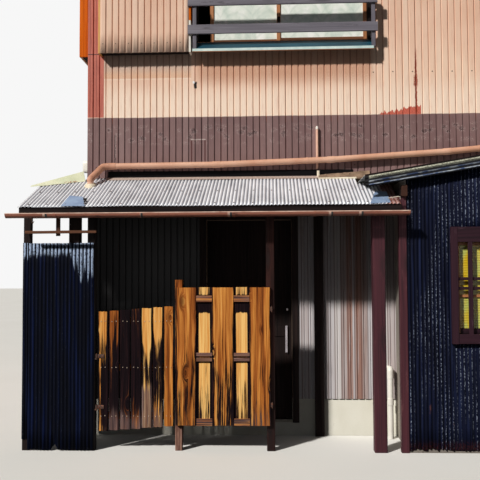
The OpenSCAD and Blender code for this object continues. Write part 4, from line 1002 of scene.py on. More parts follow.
def lean_end(u):
    """How far up the slope the lean-to sheet goes, from its place across."""
    x = LEAN_LEFT + u
    if x < 0:
        return (OBLIQUE_FOOT + (x + 0.008) * OBLIQUE_TURN - EAVE_Y) / math.cos(lean)
    if x > BAY_X - 0.01:
        return (bay_z(x) - 0.014 - EAVE_Z) / math.sin(lean)
    return -EAVE_Y / math.cos(lean)


sheets = Piece()
lapped(sheets, Vector((LEAN_LEFT, EAVE_Y, EAVE_Z)) + OFF_SLOPE * 0.001, X, UP_SLOPE, OFF_SLOPE,
       LEAN_RIGHT - LEAN_LEFT, -EAVE_Y / math.cos(lean), WAVE, WAVE_D, 19, SHEET, rows=8, high=lean_end,
       low=lambda u: 0.003 + 0.004 * wobble(2, u, 6.0), dent=0.004)
sheets.build("lean_to_sheets", "roof", "roof_sheet", replaces=["lean_to_roof"], shell=SHEET)

nails = Piece()
for run in (0.055, 0.40, 0.77):
    for u in ((i + 0.5) * WAVE for i in range(2, 100, 5)):
        if run < lean_end(u) - 0.03 and LEAN_LEFT + u < LEAN_RIGHT:
            place = Vector((LEAN_LEFT + u, EAVE_Y, EAVE_Z)) + UP_SLOPE * run + OFF_SLOPE * (WAVE_D + 0.0025)
            dome(nails, place, 0.007, 0.004, OFF_SLOPE)
for x, y, size in ((0.128, -0.585, 0.026), (0.150, -0.640, 0.020), (0.165, -0.690, 0.014)):
    dome(nails, (x, y, lean_z(y, WAVE_D + 0.0015)), size, 0.002, OFF_SLOPE, kind=1, sides=7)
nails.build("roof_nails", "iron dark", "iron")

patches = Piece()
for corners in ([(-0.028, -0.768), (0.176, -0.768), (0.100, -0.535), (-0.026, -0.502)],
                [(2.559, -0.768), (2.730, -0.745), (2.742, -0.470), (2.645, -0.455)]):
    loft(patches, [[(x, y, lean_z(y, WAVE_D + lift)) for x, y in corners] for lift in (0.0032, 0.0048)])
patches.build("repair_sheets", "blue", "blue_patch", replaces=["roof_patches"])

# a bent strip of sheet that covers the oblique end at the house corner
apron = Piece()
APRON_TOP = Vector((-0.469, -0.200, 2.317)), Vector((-0.026, -0.040, 2.466))
APRON_LOW = Vector((-0.463, -0.250, 2.297)), Vector((0.006, -0.089, 2.365))
APRON_T = Vector((0, 0.003, 0.001))
rings = []
for i in range(25):
    upper, lower = (a.lerp(b, i / 24) for a, b in (APRON_TOP, APRON_LOW))
    lower.z += 0.004 * wobble(21, i * 0.04, 9.0)
    middle = upper.lerp(lower, 0.5) + Vector((0, -0.004, 0.004)) * wobble(22, i * 0.04, 7.0)
    rings.append([lower, middle, upper, upper + APRON_T, middle + APRON_T, lower + APRON_T])
loft(apron, rings)
apron.build("verge_apron", "green", "pale_green", replaces=["verge_flashing"])

# rough mortar in the valley between the two roofs and the wall; without a seed its lumps would
# come out differently on each run
noise.seed_set(1)
mortar = Piece()
VALLEY_X, VALLEY_W, VALLEY_Z = 2.185, 0.475, 2.388
rings = []
for i in range(61):
    x = VALLEY_X + VALLEY_W * i / 60
    top = 2.413 + (x - VALLEY_X) * 0.08
    rise = top - VALLEY_Z
    ring = []
    for k, (y, z) in enumerate(((-0.004, 2.386), (-0.066, 2.366), (-0.070, 2.374),
                                (-0.050, 2.382 + rise * 0.25),
                                (-0.030, VALLEY_Z + rise * 0.6), (-0.018, top), (-0.004, top))):
        bump = noise.noise_vector(Vector((x * 22, k * 1.7, 4))) * (0.007 if 0 < k < 6 else 0.002)
        ring.append((x, min(-0.004, y + bump.y), z + bump.z * (0.4 if k < 2 else 1)))
    rings.append(ring)
loft(mortar, rings)
board(mortar, (2.180, -0.082, 2.364), (2.530, -0.074, 2.382), "x", 0.002, 1, 18, rough=0.003, step=0.03)
board(mortar, (2.172, -0.030, 2.386), (2.196, -0.006, 2.452), "z", 0.003, 1, 19, rough=0.003, step=0.02)
mortar.build("valley_fillet", "mortar pale_mortar", "concrete", smooth=60)

gutters = Piece()
GUTTER_Y, GUTTER_Z, GUTTER_R = -0.796, 2.004, 0.036
gutter_low, gutter_high = street_box("eave_gutter")
# its rolled front edge takes the pale edge finish, a painted highlight
gutter(gutters, gutter_low.x, gutter_high.x, GUTTER_Y, GUTTER_Z, GUTTER_R,
       (-0.06, 0.646, 1.436, 2.10, 2.6), (-0.144, 0.660, 1.401, 2.231, 2.478), -0.748, edge=3, gap=4)
board(gutters, (-0.457, GUTTER_Y - 0.030, GUTTER_Z + 0.001), (-0.330, GUTTER_Y + 0.020, GUTTER_Z + 0.004),
      "x", 0.001, 1)
hook = ((-0.262, 0.004 - GUTTER_R), (-0.262, -0.062), (-0.250, -0.085), (-0.240, -0.062))
tube(gutters, smooth_path([(x, GUTTER_Y - 0.01, GUTTER_Z + dz) for x, dz in hook], 0.01), 0.003, 2, 8)
tube(gutters, smooth_path([(2.716, -0.700, 2.119), (2.800, -0.700, 2.133), (2.818, -0.700, 2.128),
                           (2.818, -0.690, 2.112)], 0.01), 0.0045, 1, 8)
# a black strip closes the slit between the trough and the fascia, standing in for the shade in it
board(gutters, (-0.385, -0.772, GUTTER_Z + 0.0005), (2.810, -0.7485, GUTTER_Z + 0.0035), "x", 0.001, 4)
gutters.build("eave_gutter_run", "gutter flashing iron gutter_edge black", "pipe_peach",
              replaces=["eave_gutter"])

# Pipes and fittings on the walls

DRAIN_R, DRAIN_Y, DRAIN_X, DRAIN_END = 0.029, -0.051, 0.165, HOUSE_W - 0.230
DRAIN_LOW, DRAIN_FALL, DRAIN_SAG, DRAIN_LENGTHS = 2.508, 0.0461, 0.057, 4
DRAIN_SOCKET, SLEEVE, CLIP = 0.003, 0.035, 0.009
DRAIN_JOINTS = [DRAIN_X + (DRAIN_END - DRAIN_X) * i / DRAIN_LENGTHS for i in range(DRAIN_LENGTHS + 1)]


def drain_joint_z(x):
    """Height of the drain pipe's middle at one of its joints."""
    share = (x - DRAIN_X) / (DRAIN_END - DRAIN_X)
    return DRAIN_LOW + (x - DRAIN_X) * DRAIN_FALL - 4 * DRAIN_SAG * share * (1 - share)


def drain_at(x):
    """The drain pipe's middle at x; its lengths are straight between the joints."""
    return x, DRAIN_Y, float(np.interp(x, DRAIN_JOINTS, [drain_joint_z(j) for j in DRAIN_JOINTS]))


pipes = Piece()
mouth = Vector((0.085, -0.215, lean_z(-0.215) + 0.07))
for a, b in zip(DRAIN_JOINTS[1:], DRAIN_JOINTS[2:]):
    tube(pipes, [drain_at(a), drain_at(b)], DRAIN_R)
    tube(pipes, [drain_at(a - SLEEVE), drain_at(a), drain_at(a + SLEEVE)], DRAIN_R + DRAIN_SOCKET)
pipe_with_elbows(pipes, [drain_at(DRAIN_JOINTS[1]), drain_at(DRAIN_X), mouth, mouth - Vector((0, 0, 0.045))],
                 DRAIN_R, 0.075, elbow=1)
for x in (0.500 + 0.79 * i for i in range(5)):
    z = drain_at(x)[2]
    tube(pipes, [drain_at(x - CLIP), drain_at(x + CLIP)], DRAIN_R + 0.002)
    board(pipes, (x - CLIP, DRAIN_Y + DRAIN_R - 0.004, z - 0.006), (x + CLIP, -0.0003, z + 0.006), "y", 0.001)
pipes.build("drain_pipe_run", "pipe elbow", "pipe_peach", replaces=["drain_pipe"])

blob = Piece()
rings = []
for lift in (j / 8 for j in range(9)):
    size = 0.062 * math.sqrt(max(0.02, 1 - lift ** 2))
    ring = []
    for angle in (2 * math.pi * k / 20 for k in range(20)):
        spread = size * (1 + 0.35 * wobble(3, angle, 1.3) * math.sin(angle / 2))
        y = mouth.y + math.sin(angle) * spread
        ring.append((mouth.x + math.cos(angle) * spread * 0.8, y, lean_z(y) + 0.004 + 0.038 * lift))
    rings.append(ring)
loft(blob, rings)
blob.build("mortar_blob", "pale_mortar", "concrete", smooth=60)

white_pipe = Piece()
pipe_x = sum(end.x for end in street_box("white_pipe")) / 2
pipe_with_elbows(white_pipe, [(pipe_x, -0.001, 0.62), (pipe_x, -0.1, 0.62), (pipe_x, -0.1, 0.0)], 0.0245,
                 0.05)
tube(white_pipe, [(pipe_x, -0.1, 0.3), (pipe_x, -0.1, 0.36)], 0.0285)
white_pipe.build("white_pipe_run", "white", "white_plastic", replaces=["white_pipe"])

fittings = Piece()
CONDUIT_X, CONDUIT_W, CONDUIT_Z, CONDUIT_TOP = 2.164, 0.021, 2.475, 2.870
middle = CONDUIT_X + CONDUIT_W / 2
deep_from = drain_at(middle)[2] + DRAIN_R + 0.004
# the cover stands further out above the drain pipe than behind it
board(fittings, (CONDUIT_X, -0.018, CONDUIT_Z), (CONDUIT_X + CONDUIT_W, -0.0005, deep_from), "z", 0.003, 0,
      44)
half_turn = [math.pi * k / 12 for k in range(13)]
for low, rise, kind, grow in ((deep_from, CONDUIT_TOP - 0.028, 0, 0.0),
                              (CONDUIT_TOP - 0.030, CONDUIT_TOP, 1, 0.001)):
    half = CONDUIT_W / 2 + grow
    outline = [(middle - half, low), (middle + half, low)]
    outline += [(middle + half * math.cos(t), rise - half + half * math.sin(t)) for t in half_turn]
    loft(fittings, [[(middle + (x - middle) * share, y - grow, z) for x, z in outline]
                    for y, share in ((-0.0015, 1), (-0.030, 1), (-0.036, 0.85), (-0.038, 0.55))], kind)
# a rounded white fitting on the side wall, close to the corner
FIT_Y, FIT_Z, FIT_HALF_Y, FIT_HALF_Z = 0.032, 2.517, 0.028, 0.056
rounded = [(FIT_HALF_Y * max(-1, min(1, a)), FIT_HALF_Z * max(-1, min(1, b))) for a, b in circle(1.25, 24)]
loft(fittings, [[(x, FIT_Y + y * s, FIT_Z + z * s) for y, z in rounded]
                for x, s in ((-0.0005, 1.0), (-0.034, 1.0), (-0.043, 0.9), (-0.047, 0.7))], 1)
fittings.build("wall_fittings_shaped", "conduit white", "white_plastic", replaces=["wall_fittings"])

# The corrugated screen on the left

FACE_Y = -0.620
SCREEN_X, SCREEN_W, SCREEN_H = -0.350, 0.572, 1.768
SIDE_STRIP_Z = 0.095
screen = Piece()
front_sheet = FACE_Y + WAVE_D + 0.0015


def screen_foot(u):
    """Height of the screen's ragged lower edge at u, with its one notch."""
    return max(0.0, 0.006 + 0.012 * wobble(4, u, 9.0)) + 0.05 * max(0, 1 - abs(u - 0.24) / 0.035)


waves(screen, (SCREEN_X, front_sheet, 0), X, Z, -Y, SCREEN_W, SCREEN_H, WAVE, WAVE_D, rows=10,
      low=screen_foot, high=lambda u: SCREEN_H - 0.002 - 0.004 * abs(wobble(6, u, 12.0)), dent=0.003)
waves(screen, (SCREEN_X - 0.048, front_sheet + 0.001, SIDE_STRIP_Z), X, Z, -Y, 0.044,
      SCREEN_H - SIDE_STRIP_Z, WAVE, WAVE_D, dent=0.003)
screen.build("left_screen_sheets", "navy_screen", "navy_sheet", replaces=["left_bay_sheet"], shell=SHEET)

posts = Piece()
BACK_Y = FACE_Y + 0.0123
BEAM_Z = 1.986
board(posts, (-0.395, BACK_Y, 0), (-0.335, BACK_Y + 0.06, BEAM_Z), seed=1, rough=0.002)
board(posts, (0, BACK_Y, 0), (0.09, BACK_Y + 0.09, BEAM_Z), seed=2, rough=0.002)
for i, z in enumerate((0.3006, 1.0078, 1.6442)):
    board(posts, (-0.335, BACK_Y, z), (0, BACK_Y + 0.04, z + 0.04), "x", 0.002, seed=3 + i, rough=0.002)
board(posts, (-0.335, -0.7537, 1.841), (0.272, -0.7297, 1.865), "x", 0.002, 1, seed=7, rough=0.003, step=0.08)
board(posts, (-0.077, -0.7297, 1.821), (-0.044, -0.7077, 2.045), "z", 0.002, 1, seed=8, rough=0.002,
      shade=0.7)
posts.build("left_screen_timbers", "dark batten", "dark_wood", replaces=["left_bay_frame"])

# Posts of the gates and the porch


def stops(rows, edge=0.0, side=0.0, reach=0.12, soft=0.12):
    """Marks along a board from rows of (place, burn, grey): char and painted shade, then grey wear.

    edge darkens its two long edges as far in as reach, and side its right side.
    """
    def marks(across, along):
        inside = min(across, 1 - across)
        dark = edge * min(1.0, max(0.0, (reach - inside) / soft)) + side * across
        for a, b in zip(rows, rows[1:]):
            if along <= b[0]:
                share = max(0.0, (along - a[0]) / (b[0] - a[0]))
                return a[1] + (b[1] - a[1]) * share + dark, a[2] + (b[2] - a[2]) * share
        return rows[-1][1] + dark, rows[-1][2]
    return marks


POST_Y0, POST_Y1 = -0.584, -0.514
POST_WEAR = [(0, 0.2, 1.0), (0.16, 0.3, 0.8), (0.3, 0.6, 0.2), (0.9, 0.6, 0.1), (0.94, 0.05, 0.0),
             (1, 0.05, 0.0)]
timber, tall, porch = Piece(), Piece(), Piece()
board(timber, (0.165, BACK_Y, 0), (0.230, -0.530, BEAM_Z), "z", 0.004, 1, 11, rough=0.003, step=0.12,
      shade=0.75)
board(timber, (0.916, POST_Y0, 0), (0.977, POST_Y1, 1.444), "z", 0.004, 0, 12, rough=0.004, step=0.1,
      marks=stops(POST_WEAR))
board(tall, (1.695, POST_Y0, 0), (1.765, POST_Y1, BEAM_Z), "z", 0.004, 0, 13, rough=0.003, step=0.12)
board(porch, (2.595, FACE_Y, 0), (2.700, -0.515, BEAM_Z), "z", 0.005, 0, 14, rough=0.002, step=0.2)
board(porch, (2.817, FACE_Y, 0), (2.881, -0.556, 2.140), "z", 0.004, 0, 15, rough=0.002, step=0.2, shade=0.4)
board(porch, (2.836, -0.655, 2.1405), (2.884, -0.570, 2.236), "y", 0.006, 1, 16, rough=0.005, step=0.02,
      shade=0.95)
timber.build("gate_timbers", "gate dark", "gate_wood", replaces=["gate_posts"])
tall.build("tall_gate_post", "red_post", "dark_wood", replaces=["tall_post"])
porch.build("porch_timbers", "purple batten", "purple_post", replaces=["porch_posts"])

# The board gate

LEAF_X, LEAF_W, LEAF_Z, LEAF_H, LEAF_RISE, GAP = 0.259, 0.646, 0.160, 1.020, 0.042, 0.010
# wear, darkness of the right side and shade of each board
BOARDS = [
    ([(0, 0.30, 0.35), (0.12, 0.55, 0.2), (0.35, 0.62, 0.0), (0.7, 0.25, 0.0), (1, 0.05, 0.0)], 0.5, 0.42),
    ([(0, 0.40, 0.9), (0.2, 0.70, 0.3), (0.35, 0.8, 0.0), (0.65, 0.7, 0.0), (0.9, 0.3, 0.0), (1, 0.15, 0.0)],
     0.0, 0.60),
    ([(0, 0.4, 0.9), (0.2, 0.75, 0.3), (0.4, 0.95, 0.1), (1, 0.72, 0.1)], 0.1, 0.60),
    ([(0, 0.4, 0.7), (0.2, 0.75, 0.3), (0.4, 0.95, 0.1), (1, 0.72, 0.1)], 0.0, 0.60),
    ([(0, 0.35, 1.0), (0.3, 0.45, 0.7), (0.45, 0.72, 0.1), (0.62, 0.5, 0.0), (0.72, 0.05, 0.0),
      (1, -0.05, 0.0)],
     0.0, 0.22),
    ([(0, 0.3, 0.8), (0.25, 0.6, 0.3), (0.5, 0.82, 0.0), (0.68, 0.5, 0.0), (0.8, 0.08, 0.0), (1, 0.0, 0.0)],
     0.2, 0.32),
    ([(0, 0.3, 0.3), (0.4, 0.28, 0.05), (1, 0.15, 0.0)], 0.0, 0.46),
]
BATTENS = (0.262, 0.672, 1.064)
STRAP_H = 0.034
board_w = (LEAF_W - 6 * GAP) / 7
leaf = Piece()
for i, (rows, side, shade) in enumerate(BOARDS):
    x, foot = LEAF_X + i * (board_w + GAP), LEAF_Z + LEAF_RISE * i / 6
    board(leaf, (x, -0.600, foot), (x + board_w, -0.585, foot + LEAF_H), "z", 0.003, 0, 20 + i, rough=0.003,
          step=0.05, fine=0.008, bow=0.002 * wobble(i, 1.0), marks=stops(rows, 0.7, side),
          ends=(0.012, 0.008), shade=shade)
for i, z in enumerate(BATTENS):
    board(leaf, (LEAF_X + 0.026, -0.585, z), (LEAF_X + LEAF_W, -0.557, z + 0.06), "x", 0.003, 0, 30 + i,
          rough=0.002, marks=stops([(0, 0.3, 0.4), (1, 0.4, 0.4)]))
leaf.build("board_gate_boards", "gate", "gate_wood", body="board_gate", replaces=["board_gate"])

irons = Piece()
PIN = Vector((0.245, -0.602, 0))
for z in (0.350, 0.780):
    board(irons, (PIN.x + 0.006, -0.604, z), (LEAF_X + 0.048, -0.600, z + STRAP_H), "x", 0.001, 0, 40,
          rough=0.0006, step=0.02)
    # an open eye: its outer and inner wall below, then above
    loops = circle(0.009, 24, PIN.x, PIN.y) + circle(0.0044, 24, PIN.x, PIN.y)
    faces = []
    for k in range(24):
        n = (k + 1) % 24
        faces += [(k, n, 48 + n, 48 + k), (24 + k, 24 + n, 72 + n, 72 + k), (k, n, 24 + n, 24 + k),
                  (48 + k, 48 + n, 72 + n, 72 + k)]
    irons.add([at(*p, h) for h in (z, z + STRAP_H) for p in loops], faces)
for i in range(7):
    for z in BATTENS:
        for dx in (-0.018, 0.018):
            dome(irons, (LEAF_X + (i + 0.5) * board_w + i * GAP + dx, -0.6025,
                         z + 0.030 + 0.006 * wobble(i, dx * 90)),
                 0.0038, 0.0015, kind=1)
irons.build("board_gate_irons", "iron pale_nail", "iron", body="board_gate", smooth=50)

# The panelled gate

PANEL_R, PANEL_Z, PANEL_TOP, RECESS_Y = 1.729, 0.215, 1.381, -0.6045
# ends, wear and shade of each stile
STILES = [
    (0.925, 1.1015, [(0, 0.5, 0.4), (0.25, 0.5, 0.2), (0.5, 0.35, 0.05), (0.75, 0.2, 0.0), (1, 0.15, 0.0)],
     0.50),
    (1.2345, 1.4195, [(0, 0.6, 0.35), (0.3, 0.5, 0.1), (0.6, 0.25, 0.0), (1, 0.12, 0.0)], 0.44),
    (1.5525, PANEL_R, [(0, 0.5, 0.5), (0.3, 0.35, 0.25), (0.6, 0.2, 0.05), (1, 0.05, 0.0)], 0.50),
]
# the recessed panels are painted black along their sides and just under the upper rail, a painted shadow
RECESS_WEAR_AND_SHADE = [(0, 0.6, 0.3), (0.3, 0.35, 0.1), (0.45, 0.25, 0.0), (0.5, 0.1, 0.0), (0.80, -0.1, 0.0),
               (0.83, 2.0, 0.0), (0.90, 2.0, 0.0), (0.91, 0.5, 0.1), (1, 0.4, 0.1)]
panel = Piece()
for i, (x0, x1, rows, shade) in enumerate(STILES):
    board(panel, (x0, FACE_Y, PANEL_Z), (x1, -0.590, PANEL_TOP), "z", 0.003, 0, 50 + i, rough=0.0025,
          step=0.06,
          fine=0.012, marks=stops(rows, 0.55, reach=0.1, soft=0.1), ends=(0.006, 0.004), shade=shade)
for i, (x0, x1) in enumerate((a[1], b[0]) for a, b in zip(STILES, STILES[1:])):
    # edge 2.0 paints shadow black along the recess's two sides
    board(panel, (x0, RECESS_Y, PANEL_Z), (x1, -0.592, PANEL_TOP), "z", 0.001, 0, 60 + i, rough=0.0015,
          step=0.06, fine=0.005, marks=stops(RECESS_WEAR_AND_SHADE, 2.0, reach=0.15, soft=0.05), shade=0.22)
    board(panel, (x0, FACE_Y + 0.001, PANEL_Z), (x1, RECESS_Y, PANEL_Z + 0.06), "x", 0.002, 0, 64 + i,
          rough=0.0015, marks=stops([(0, 0.5, 0.6), (1, 0.5, 0.6)]))
    for k, (z, h, grey) in enumerate(((PANEL_TOP - 0.125, 0.054, 0.55), (PANEL_Z + 0.583, 0.030, 0.9),
                                      (PANEL_Z + 0.540, 0.030, 0.9))):
        board(panel, (x0, FACE_Y - 0.004, z), (x1, RECESS_Y, z + h), "x", 0.003, 0, 68 + 3 * i + k,
              rough=0.0015, step=0.03, marks=stops([(0, 0.15, grey), (1, 0.2, grey)]))
panel.build("panel_gate_boards", "gate", "gate_wood", body="panel_gate", replaces=["panel_gate"])

eyes = Piece()
PIN = Vector((1.741, -0.614, 0))
for z in (0.375, 1.181):
    board(eyes, (PANEL_R - 0.002, PIN.y - 0.003, z), (PIN.x - 0.005, PIN.y + 0.003, z + STRAP_H), "x", 0.0005)
    tube(eyes, [(PIN.x, PIN.y, z), (PIN.x, PIN.y, z + STRAP_H)], 0.007, 0, 24)
eyes.build("panel_gate_eyes", "iron", "iron", body="panel_gate")

# The side bay

ALONG_BAY = Vector((1, 0, BAY_SLOPE)).normalized()
OFF_BAY = Vector((-BAY_SLOPE, 0, 1)).normalized()
HOLE_X0, HOLE_X1, HOLE_Z0, HOLE_Z1 = 3.254, HOUSE_W - 0.370, 0.930, 1.860
SHEET_X = 2.8813
bay = Piece()
lapped(bay, (SHEET_X, front_sheet, 0), X, Z, -Y, HOUSE_W - SHEET_X, 2.6, WAVE, WAVE_D, 14,
       SHEET, rows=12, low=lambda u: 0.012 + 0.03 * abs(wobble(8, u, 14.0)) + 0.02 * abs(wobble(9, u, 50.0)),
       high=lambda u: bay_z(SHEET_X + u) - 0.062,
       holes=[(HOLE_X0 - SHEET_X, HOLE_X1 - SHEET_X, HOLE_Z0, HOLE_Z1)], dent=0.0015)
bay.build("bay_sheets_shaped", "navy_bay", "navy_sheet", replaces=["bay_sheets"], shell=SHEET)

bay_top = Piece()
VERGE_Y, VERGE_H = -0.700, 0.0888
run = (HOUSE_W - BAY_X) * math.sqrt(1 + BAY_SLOPE ** 2)
waves(bay_top, Vector((BAY_X, -0.0004, BAY_Z)) + OFF_BAY * 0.0015, -Y, ALONG_BAY, OFF_BAY, 0.6792,
      run - 0.003, WAVE, WAVE_D, rows=14, dent=0.003, low=lambda u: 0.004 + 0.006 * wobble(12, u, 14.0))
waves(bay_top, (BAY_X, VERGE_Y + WAVE_D + 0.0015, BAY_Z - 0.095), OFF_BAY, ALONG_BAY, -Y, VERGE_H, run,
      WAVE, WAVE_D, kind=1, rows=24, dent=0.004, low=lambda u: 0.006 + 0.012 * wobble(13, u, 60.0))
bay_top.build("bay_roof_sheets", "bay_roof verge", "roof_sheet", replaces=["bay_roof"], shell=SHEET)

window = Piece()
WF_X0, WF_X1, WF_Y0, WF_Y1 = HOLE_X0 - 0.014, HOLE_X1 + 0.014, -0.660, -0.6203
EDGE = 0.056
CLEAR_X0, CLEAR_X1 = WF_X0 + EDGE, WF_X1 - EDGE
FRAME_LOW, FRAME_TOP, HEAD_Z, SILL_Z = 0.905, 1.880, 1.752, 0.985
for i, (x0, x1) in enumerate(((WF_X0, CLEAR_X0), (CLEAR_X1, WF_X1))):
    board(window, (x0, WF_Y0, FRAME_LOW), (x1, WF_Y1, FRAME_TOP), "z", 0.003, 0, 80 + i, rough=0.0015)
board(window, (CLEAR_X0, WF_Y0 + 0.002, HEAD_Z), (CLEAR_X1, WF_Y1, FRAME_TOP), "x", 0.003, 0, 82,
      rough=0.0015)
board(window, (CLEAR_X0, WF_Y0, FRAME_LOW), (CLEAR_X1, WF_Y1, SILL_Z), "x", 0.004, 0, 84, rough=0.002,
      shade=0.4)
for i in range(7):
    x = CLEAR_X0 + 0.084 + 0.139 * i
    board(window, (x, -0.656, SILL_Z), (x + 0.036, -0.634, HEAD_Z), "z", 0.003, 0, 85 + i, rough=0.0015,
          shade=0.45)
for i, z in enumerate((1.353, 1.433)):
    board(window, (CLEAR_X0, -0.634, z), (CLEAR_X1, WF_Y1, z + 0.026), "x", 0.002, 0, 94 + i, rough=0.001)
inner_l, inner_r = HOLE_X0 + 0.034, HOLE_X1 - 0.034
middle = (inner_l + inner_r) / 2
for i, (x0, x1) in enumerate(((inner_l, inner_l + 0.03), (middle - 0.02, middle + 0.02),
                              (inner_r - 0.03, inner_r))):
    board(window, (x0, -0.606, SILL_Z), (x1, -0.582, HEAD_Z), "z", 0.002, 1, 97 + i, rough=0.001)
for i, (z0, z1) in enumerate(((SILL_Z, 1.030), (1.290, 1.312), (1.728, HEAD_Z))):
    board(window, (inner_l, -0.604, z0), (inner_r, -0.584, z1), "x", 0.002, 1 if i else 0, 101 + i,
          rough=0.001)
window.build("bay_window_frame", "bay_frame orange", "purple_post", replaces=["bay_window"])

# Windows, balustrade and shutter boxes upstairs

WIN_X, WIN_W, WIN_Z, WIN_H = 1.016, 1.684, 3.622, 1.030
MEMBER, SASH = 0.040, 0.045
SASH_W, STILE = (WIN_W - 2 * MEMBER) / 2 + SASH / 2, SASH * 0.8
SHUT = ((MEMBER, MEMBER + SASH_W), (WIN_W - MEMBER - SASH_W, WIN_W - MEMBER))
# the front sashes stand a little open at the left and at the right
AJAR = ((0.153, 0.826), (0.790, 1.640))


def spot(face, u, d, h):
    """The street place of a point given along, into and up a wall with a window at height h."""
    if face == "left":
        return Vector((d, WIN_X + WIN_W - u, h))
    return Vector((WIN_X + u, d, h)) if face == "front" else Vector((HOUSE_W - WIN_X - u, HOUSE_D - d, h))


def in_wall(face, low, high, z0):
    """Corners in street coordinates of a box that is given along, into and up a wall opening."""
    points = [spot(face, p[0], p[1], z0 + p[2]) for p in (low, high)]
    return [Vector([f(a, b) for a, b in zip(*points)]) for f in (min, max)]


def sash_window(frame_piece, pane_piece, face, z0, seed, sashes=SHUT):
    """A frame with a sloping sill, two sliding sashes and frosted panes; sashes gives their ends."""
    level_axis = "y" if face == "left" else "x"

    def bar(low, high, along, kind, n, rough=0.001):
        board(frame_piece, *in_wall(face, low, high, z0), along, 0.003, kind, seed + n, rough=rough)

    low, rail, top = 0.070, 0.034, WIN_H - MEMBER
    bar((0, -0.015, 0), (MEMBER, 0.100, WIN_H), "z", 3, 0)
    bar((WIN_W - MEMBER, -0.015, 0), (WIN_W, 0.100, WIN_H), "z", 3, 1)
    bar((MEMBER, -0.015, top), (WIN_W - MEMBER, 0.100, WIN_H), level_axis, 0, 2)
    bar((MEMBER, -0.014, 0), (WIN_W - MEMBER, 0.100, low), level_axis, 0, 3)
    slope = ((-0.0150, -0.004), (-0.0455, -0.018), (-0.0455, 0.006), (-0.0150, 0.063))
    loft(frame_piece, [[spot(face, u, d, z0 + h) for d, h in slope] for u in (0, WIN_W)], 1)
    bar((0, -0.0475, -0.024), (WIN_W, -0.0445, 0.007), level_axis, 2, 5, 0.0005)
    for (u0, u1), d in zip(sashes, (0.045, 0.010)):
        in0, in1, back = u0 + STILE, u1 - STILE, d + 0.030
        bar((u0, d, low), (in0, back, top), "z", 0, 6)
        bar((in1, d, low), (u1, back, top), "z", 0, 7)
        bar((in0, d, low), (in1, back, low + rail), level_axis, 4, 8)
        bar((in0, d, top - SASH), (in1, back, top), level_axis, 0, 9)
        board(pane_piece, *in_wall(face, (in0 - 0.004, d + 0.012, low + rail - 0.004),
                                   (in1 + 0.004, d + 0.017, top - SASH + 0.004), z0), "z", 0.0005, 0, seed)


front, plain, panes = Piece(), Piece(), Piece()
sash_window(front, panes, "front", WIN_Z, 110, AJAR)
latch_x = WIN_X + AJAR[1][0]
board(front, (latch_x + 0.004, 0.006, 3.850), (latch_x + 0.032, 0.012, 3.930), "z", 0.002, 3, 120)
sash_window(plain, panes, "left", WIN_Z, 130)
for z in (1.100, WIN_Z):
    sash_window(plain, panes, "rear", z, 150)
front.build("front_sashes", "orange teal white dark batten", "orange_wood", replaces=["front_window"])
plain.build("side_and_rear_sashes", "orange teal white dark batten", "orange_wood",
            replaces=["plain_windows"])
panes.build("frosted_panes", "frosted", "frosted_glass", replaces=["window_panes"])

# the boards in front of the window, and the sheet metal sill that carries their posts
rails, sill = Piece(), Piece()
BOX_U, BOX_W, BOX_H = 0.125, 0.876, 1.140
RAIL_L, RAIL_R = BOX_U + BOX_W - 0.028, WIN_X + WIN_W + 0.037
RAIL_Y, RAIL_T, RAIL_H, POST_W, POST_FOOT = -0.130, 0.018, 0.088, 0.035, 3.660
RAIL_ZS = (WIN_Z + 0.110, WIN_Z + 0.376)
POST_BACK = RAIL_Y + RAIL_T + 0.030
SILL_OUT, SILL_LOW, SILL_EDGE, SILL_END = -0.112, 3.572, 3.596, WIN_X + WIN_W
for i, z in enumerate(RAIL_ZS):
    board(rails, (RAIL_L, RAIL_Y, z), (RAIL_R, RAIL_Y + RAIL_T, z + RAIL_H), "x", 0.003, 0, 170 + i,
          rough=0.0015)
SILL_SECTION = ((-0.0155, 3.605), (SILL_OUT, SILL_LOW + 0.004), (SILL_OUT, SILL_EDGE), (-0.0155, 3.681))
loft(sill, [[(x, y, z) for y, z in SILL_SECTION] for x in (WIN_X, SILL_END)], 0)
board(sill, (WIN_X, SILL_OUT - 0.004, SILL_LOW), (SILL_END, SILL_OUT, SILL_EDGE + 0.001), "x", 0.001, 1, 190,
      rough=0.0006)
board(sill, (WIN_X, SILL_OUT - 0.002, SILL_LOW - 0.006), (SILL_END, SILL_OUT + 0.004, SILL_LOW), "x", 0.001,
      2, 191)
for i, x in enumerate((WIN_X + 0.002, SILL_END - POST_W / 2)):
    board(rails, (x, RAIL_Y + RAIL_T, POST_FOOT), (x + POST_W, POST_BACK, RAIL_ZS[1] + 0.110), "z", 0.002, 0,
          173 + i, rough=0.001, shade=0.7)
    for k, z in enumerate((3.700, RAIL_ZS[1] + 0.050)):
        board(rails, (x, POST_BACK, z), (x + POST_W, -0.0153, z + 0.03), "y", 0.002, 0, 176 + 2 * i + k,
              shade=0.7)
    board(sill, (x, RAIL_Y + RAIL_T, SILL_EDGE - 0.002), (x + POST_W, POST_BACK, POST_FOOT), "z", 0.002, 3,
          192, rough=0.001, shade=0.7)
rails.build("balustrade_boards", "grey", "grey_wood", replaces=["balustrade"])
sill.build("window_sill_sheet", "teal sill_edge orange grey", "orange_wood")

pull = Piece()
pull_low, pull_high = street_box("door_pull")
pull_x = (pull_low.x + pull_high.x) / 2
board(pull, (pull_x - 0.011, pull_low.y, pull_low.z), (pull_x + 0.011, pull_low.y + 0.007, pull_high.z), "z",
      0.002)
for z in (pull_low.z + 0.020, pull_high.z - 0.032):
    board(pull, (pull_x - 0.007, pull_low.y + 0.007, z), (pull_x + 0.007, pull_high.y, z + 0.012), "y", 0.001)
dome(pull, (pull_x + 0.010, pull_high.y, 1.153), 0.012, 0.004, sides=16)
pull.build("door_pull_bar", "steel", "steel_pull", body="sliding_door", replaces=["door_pull"])

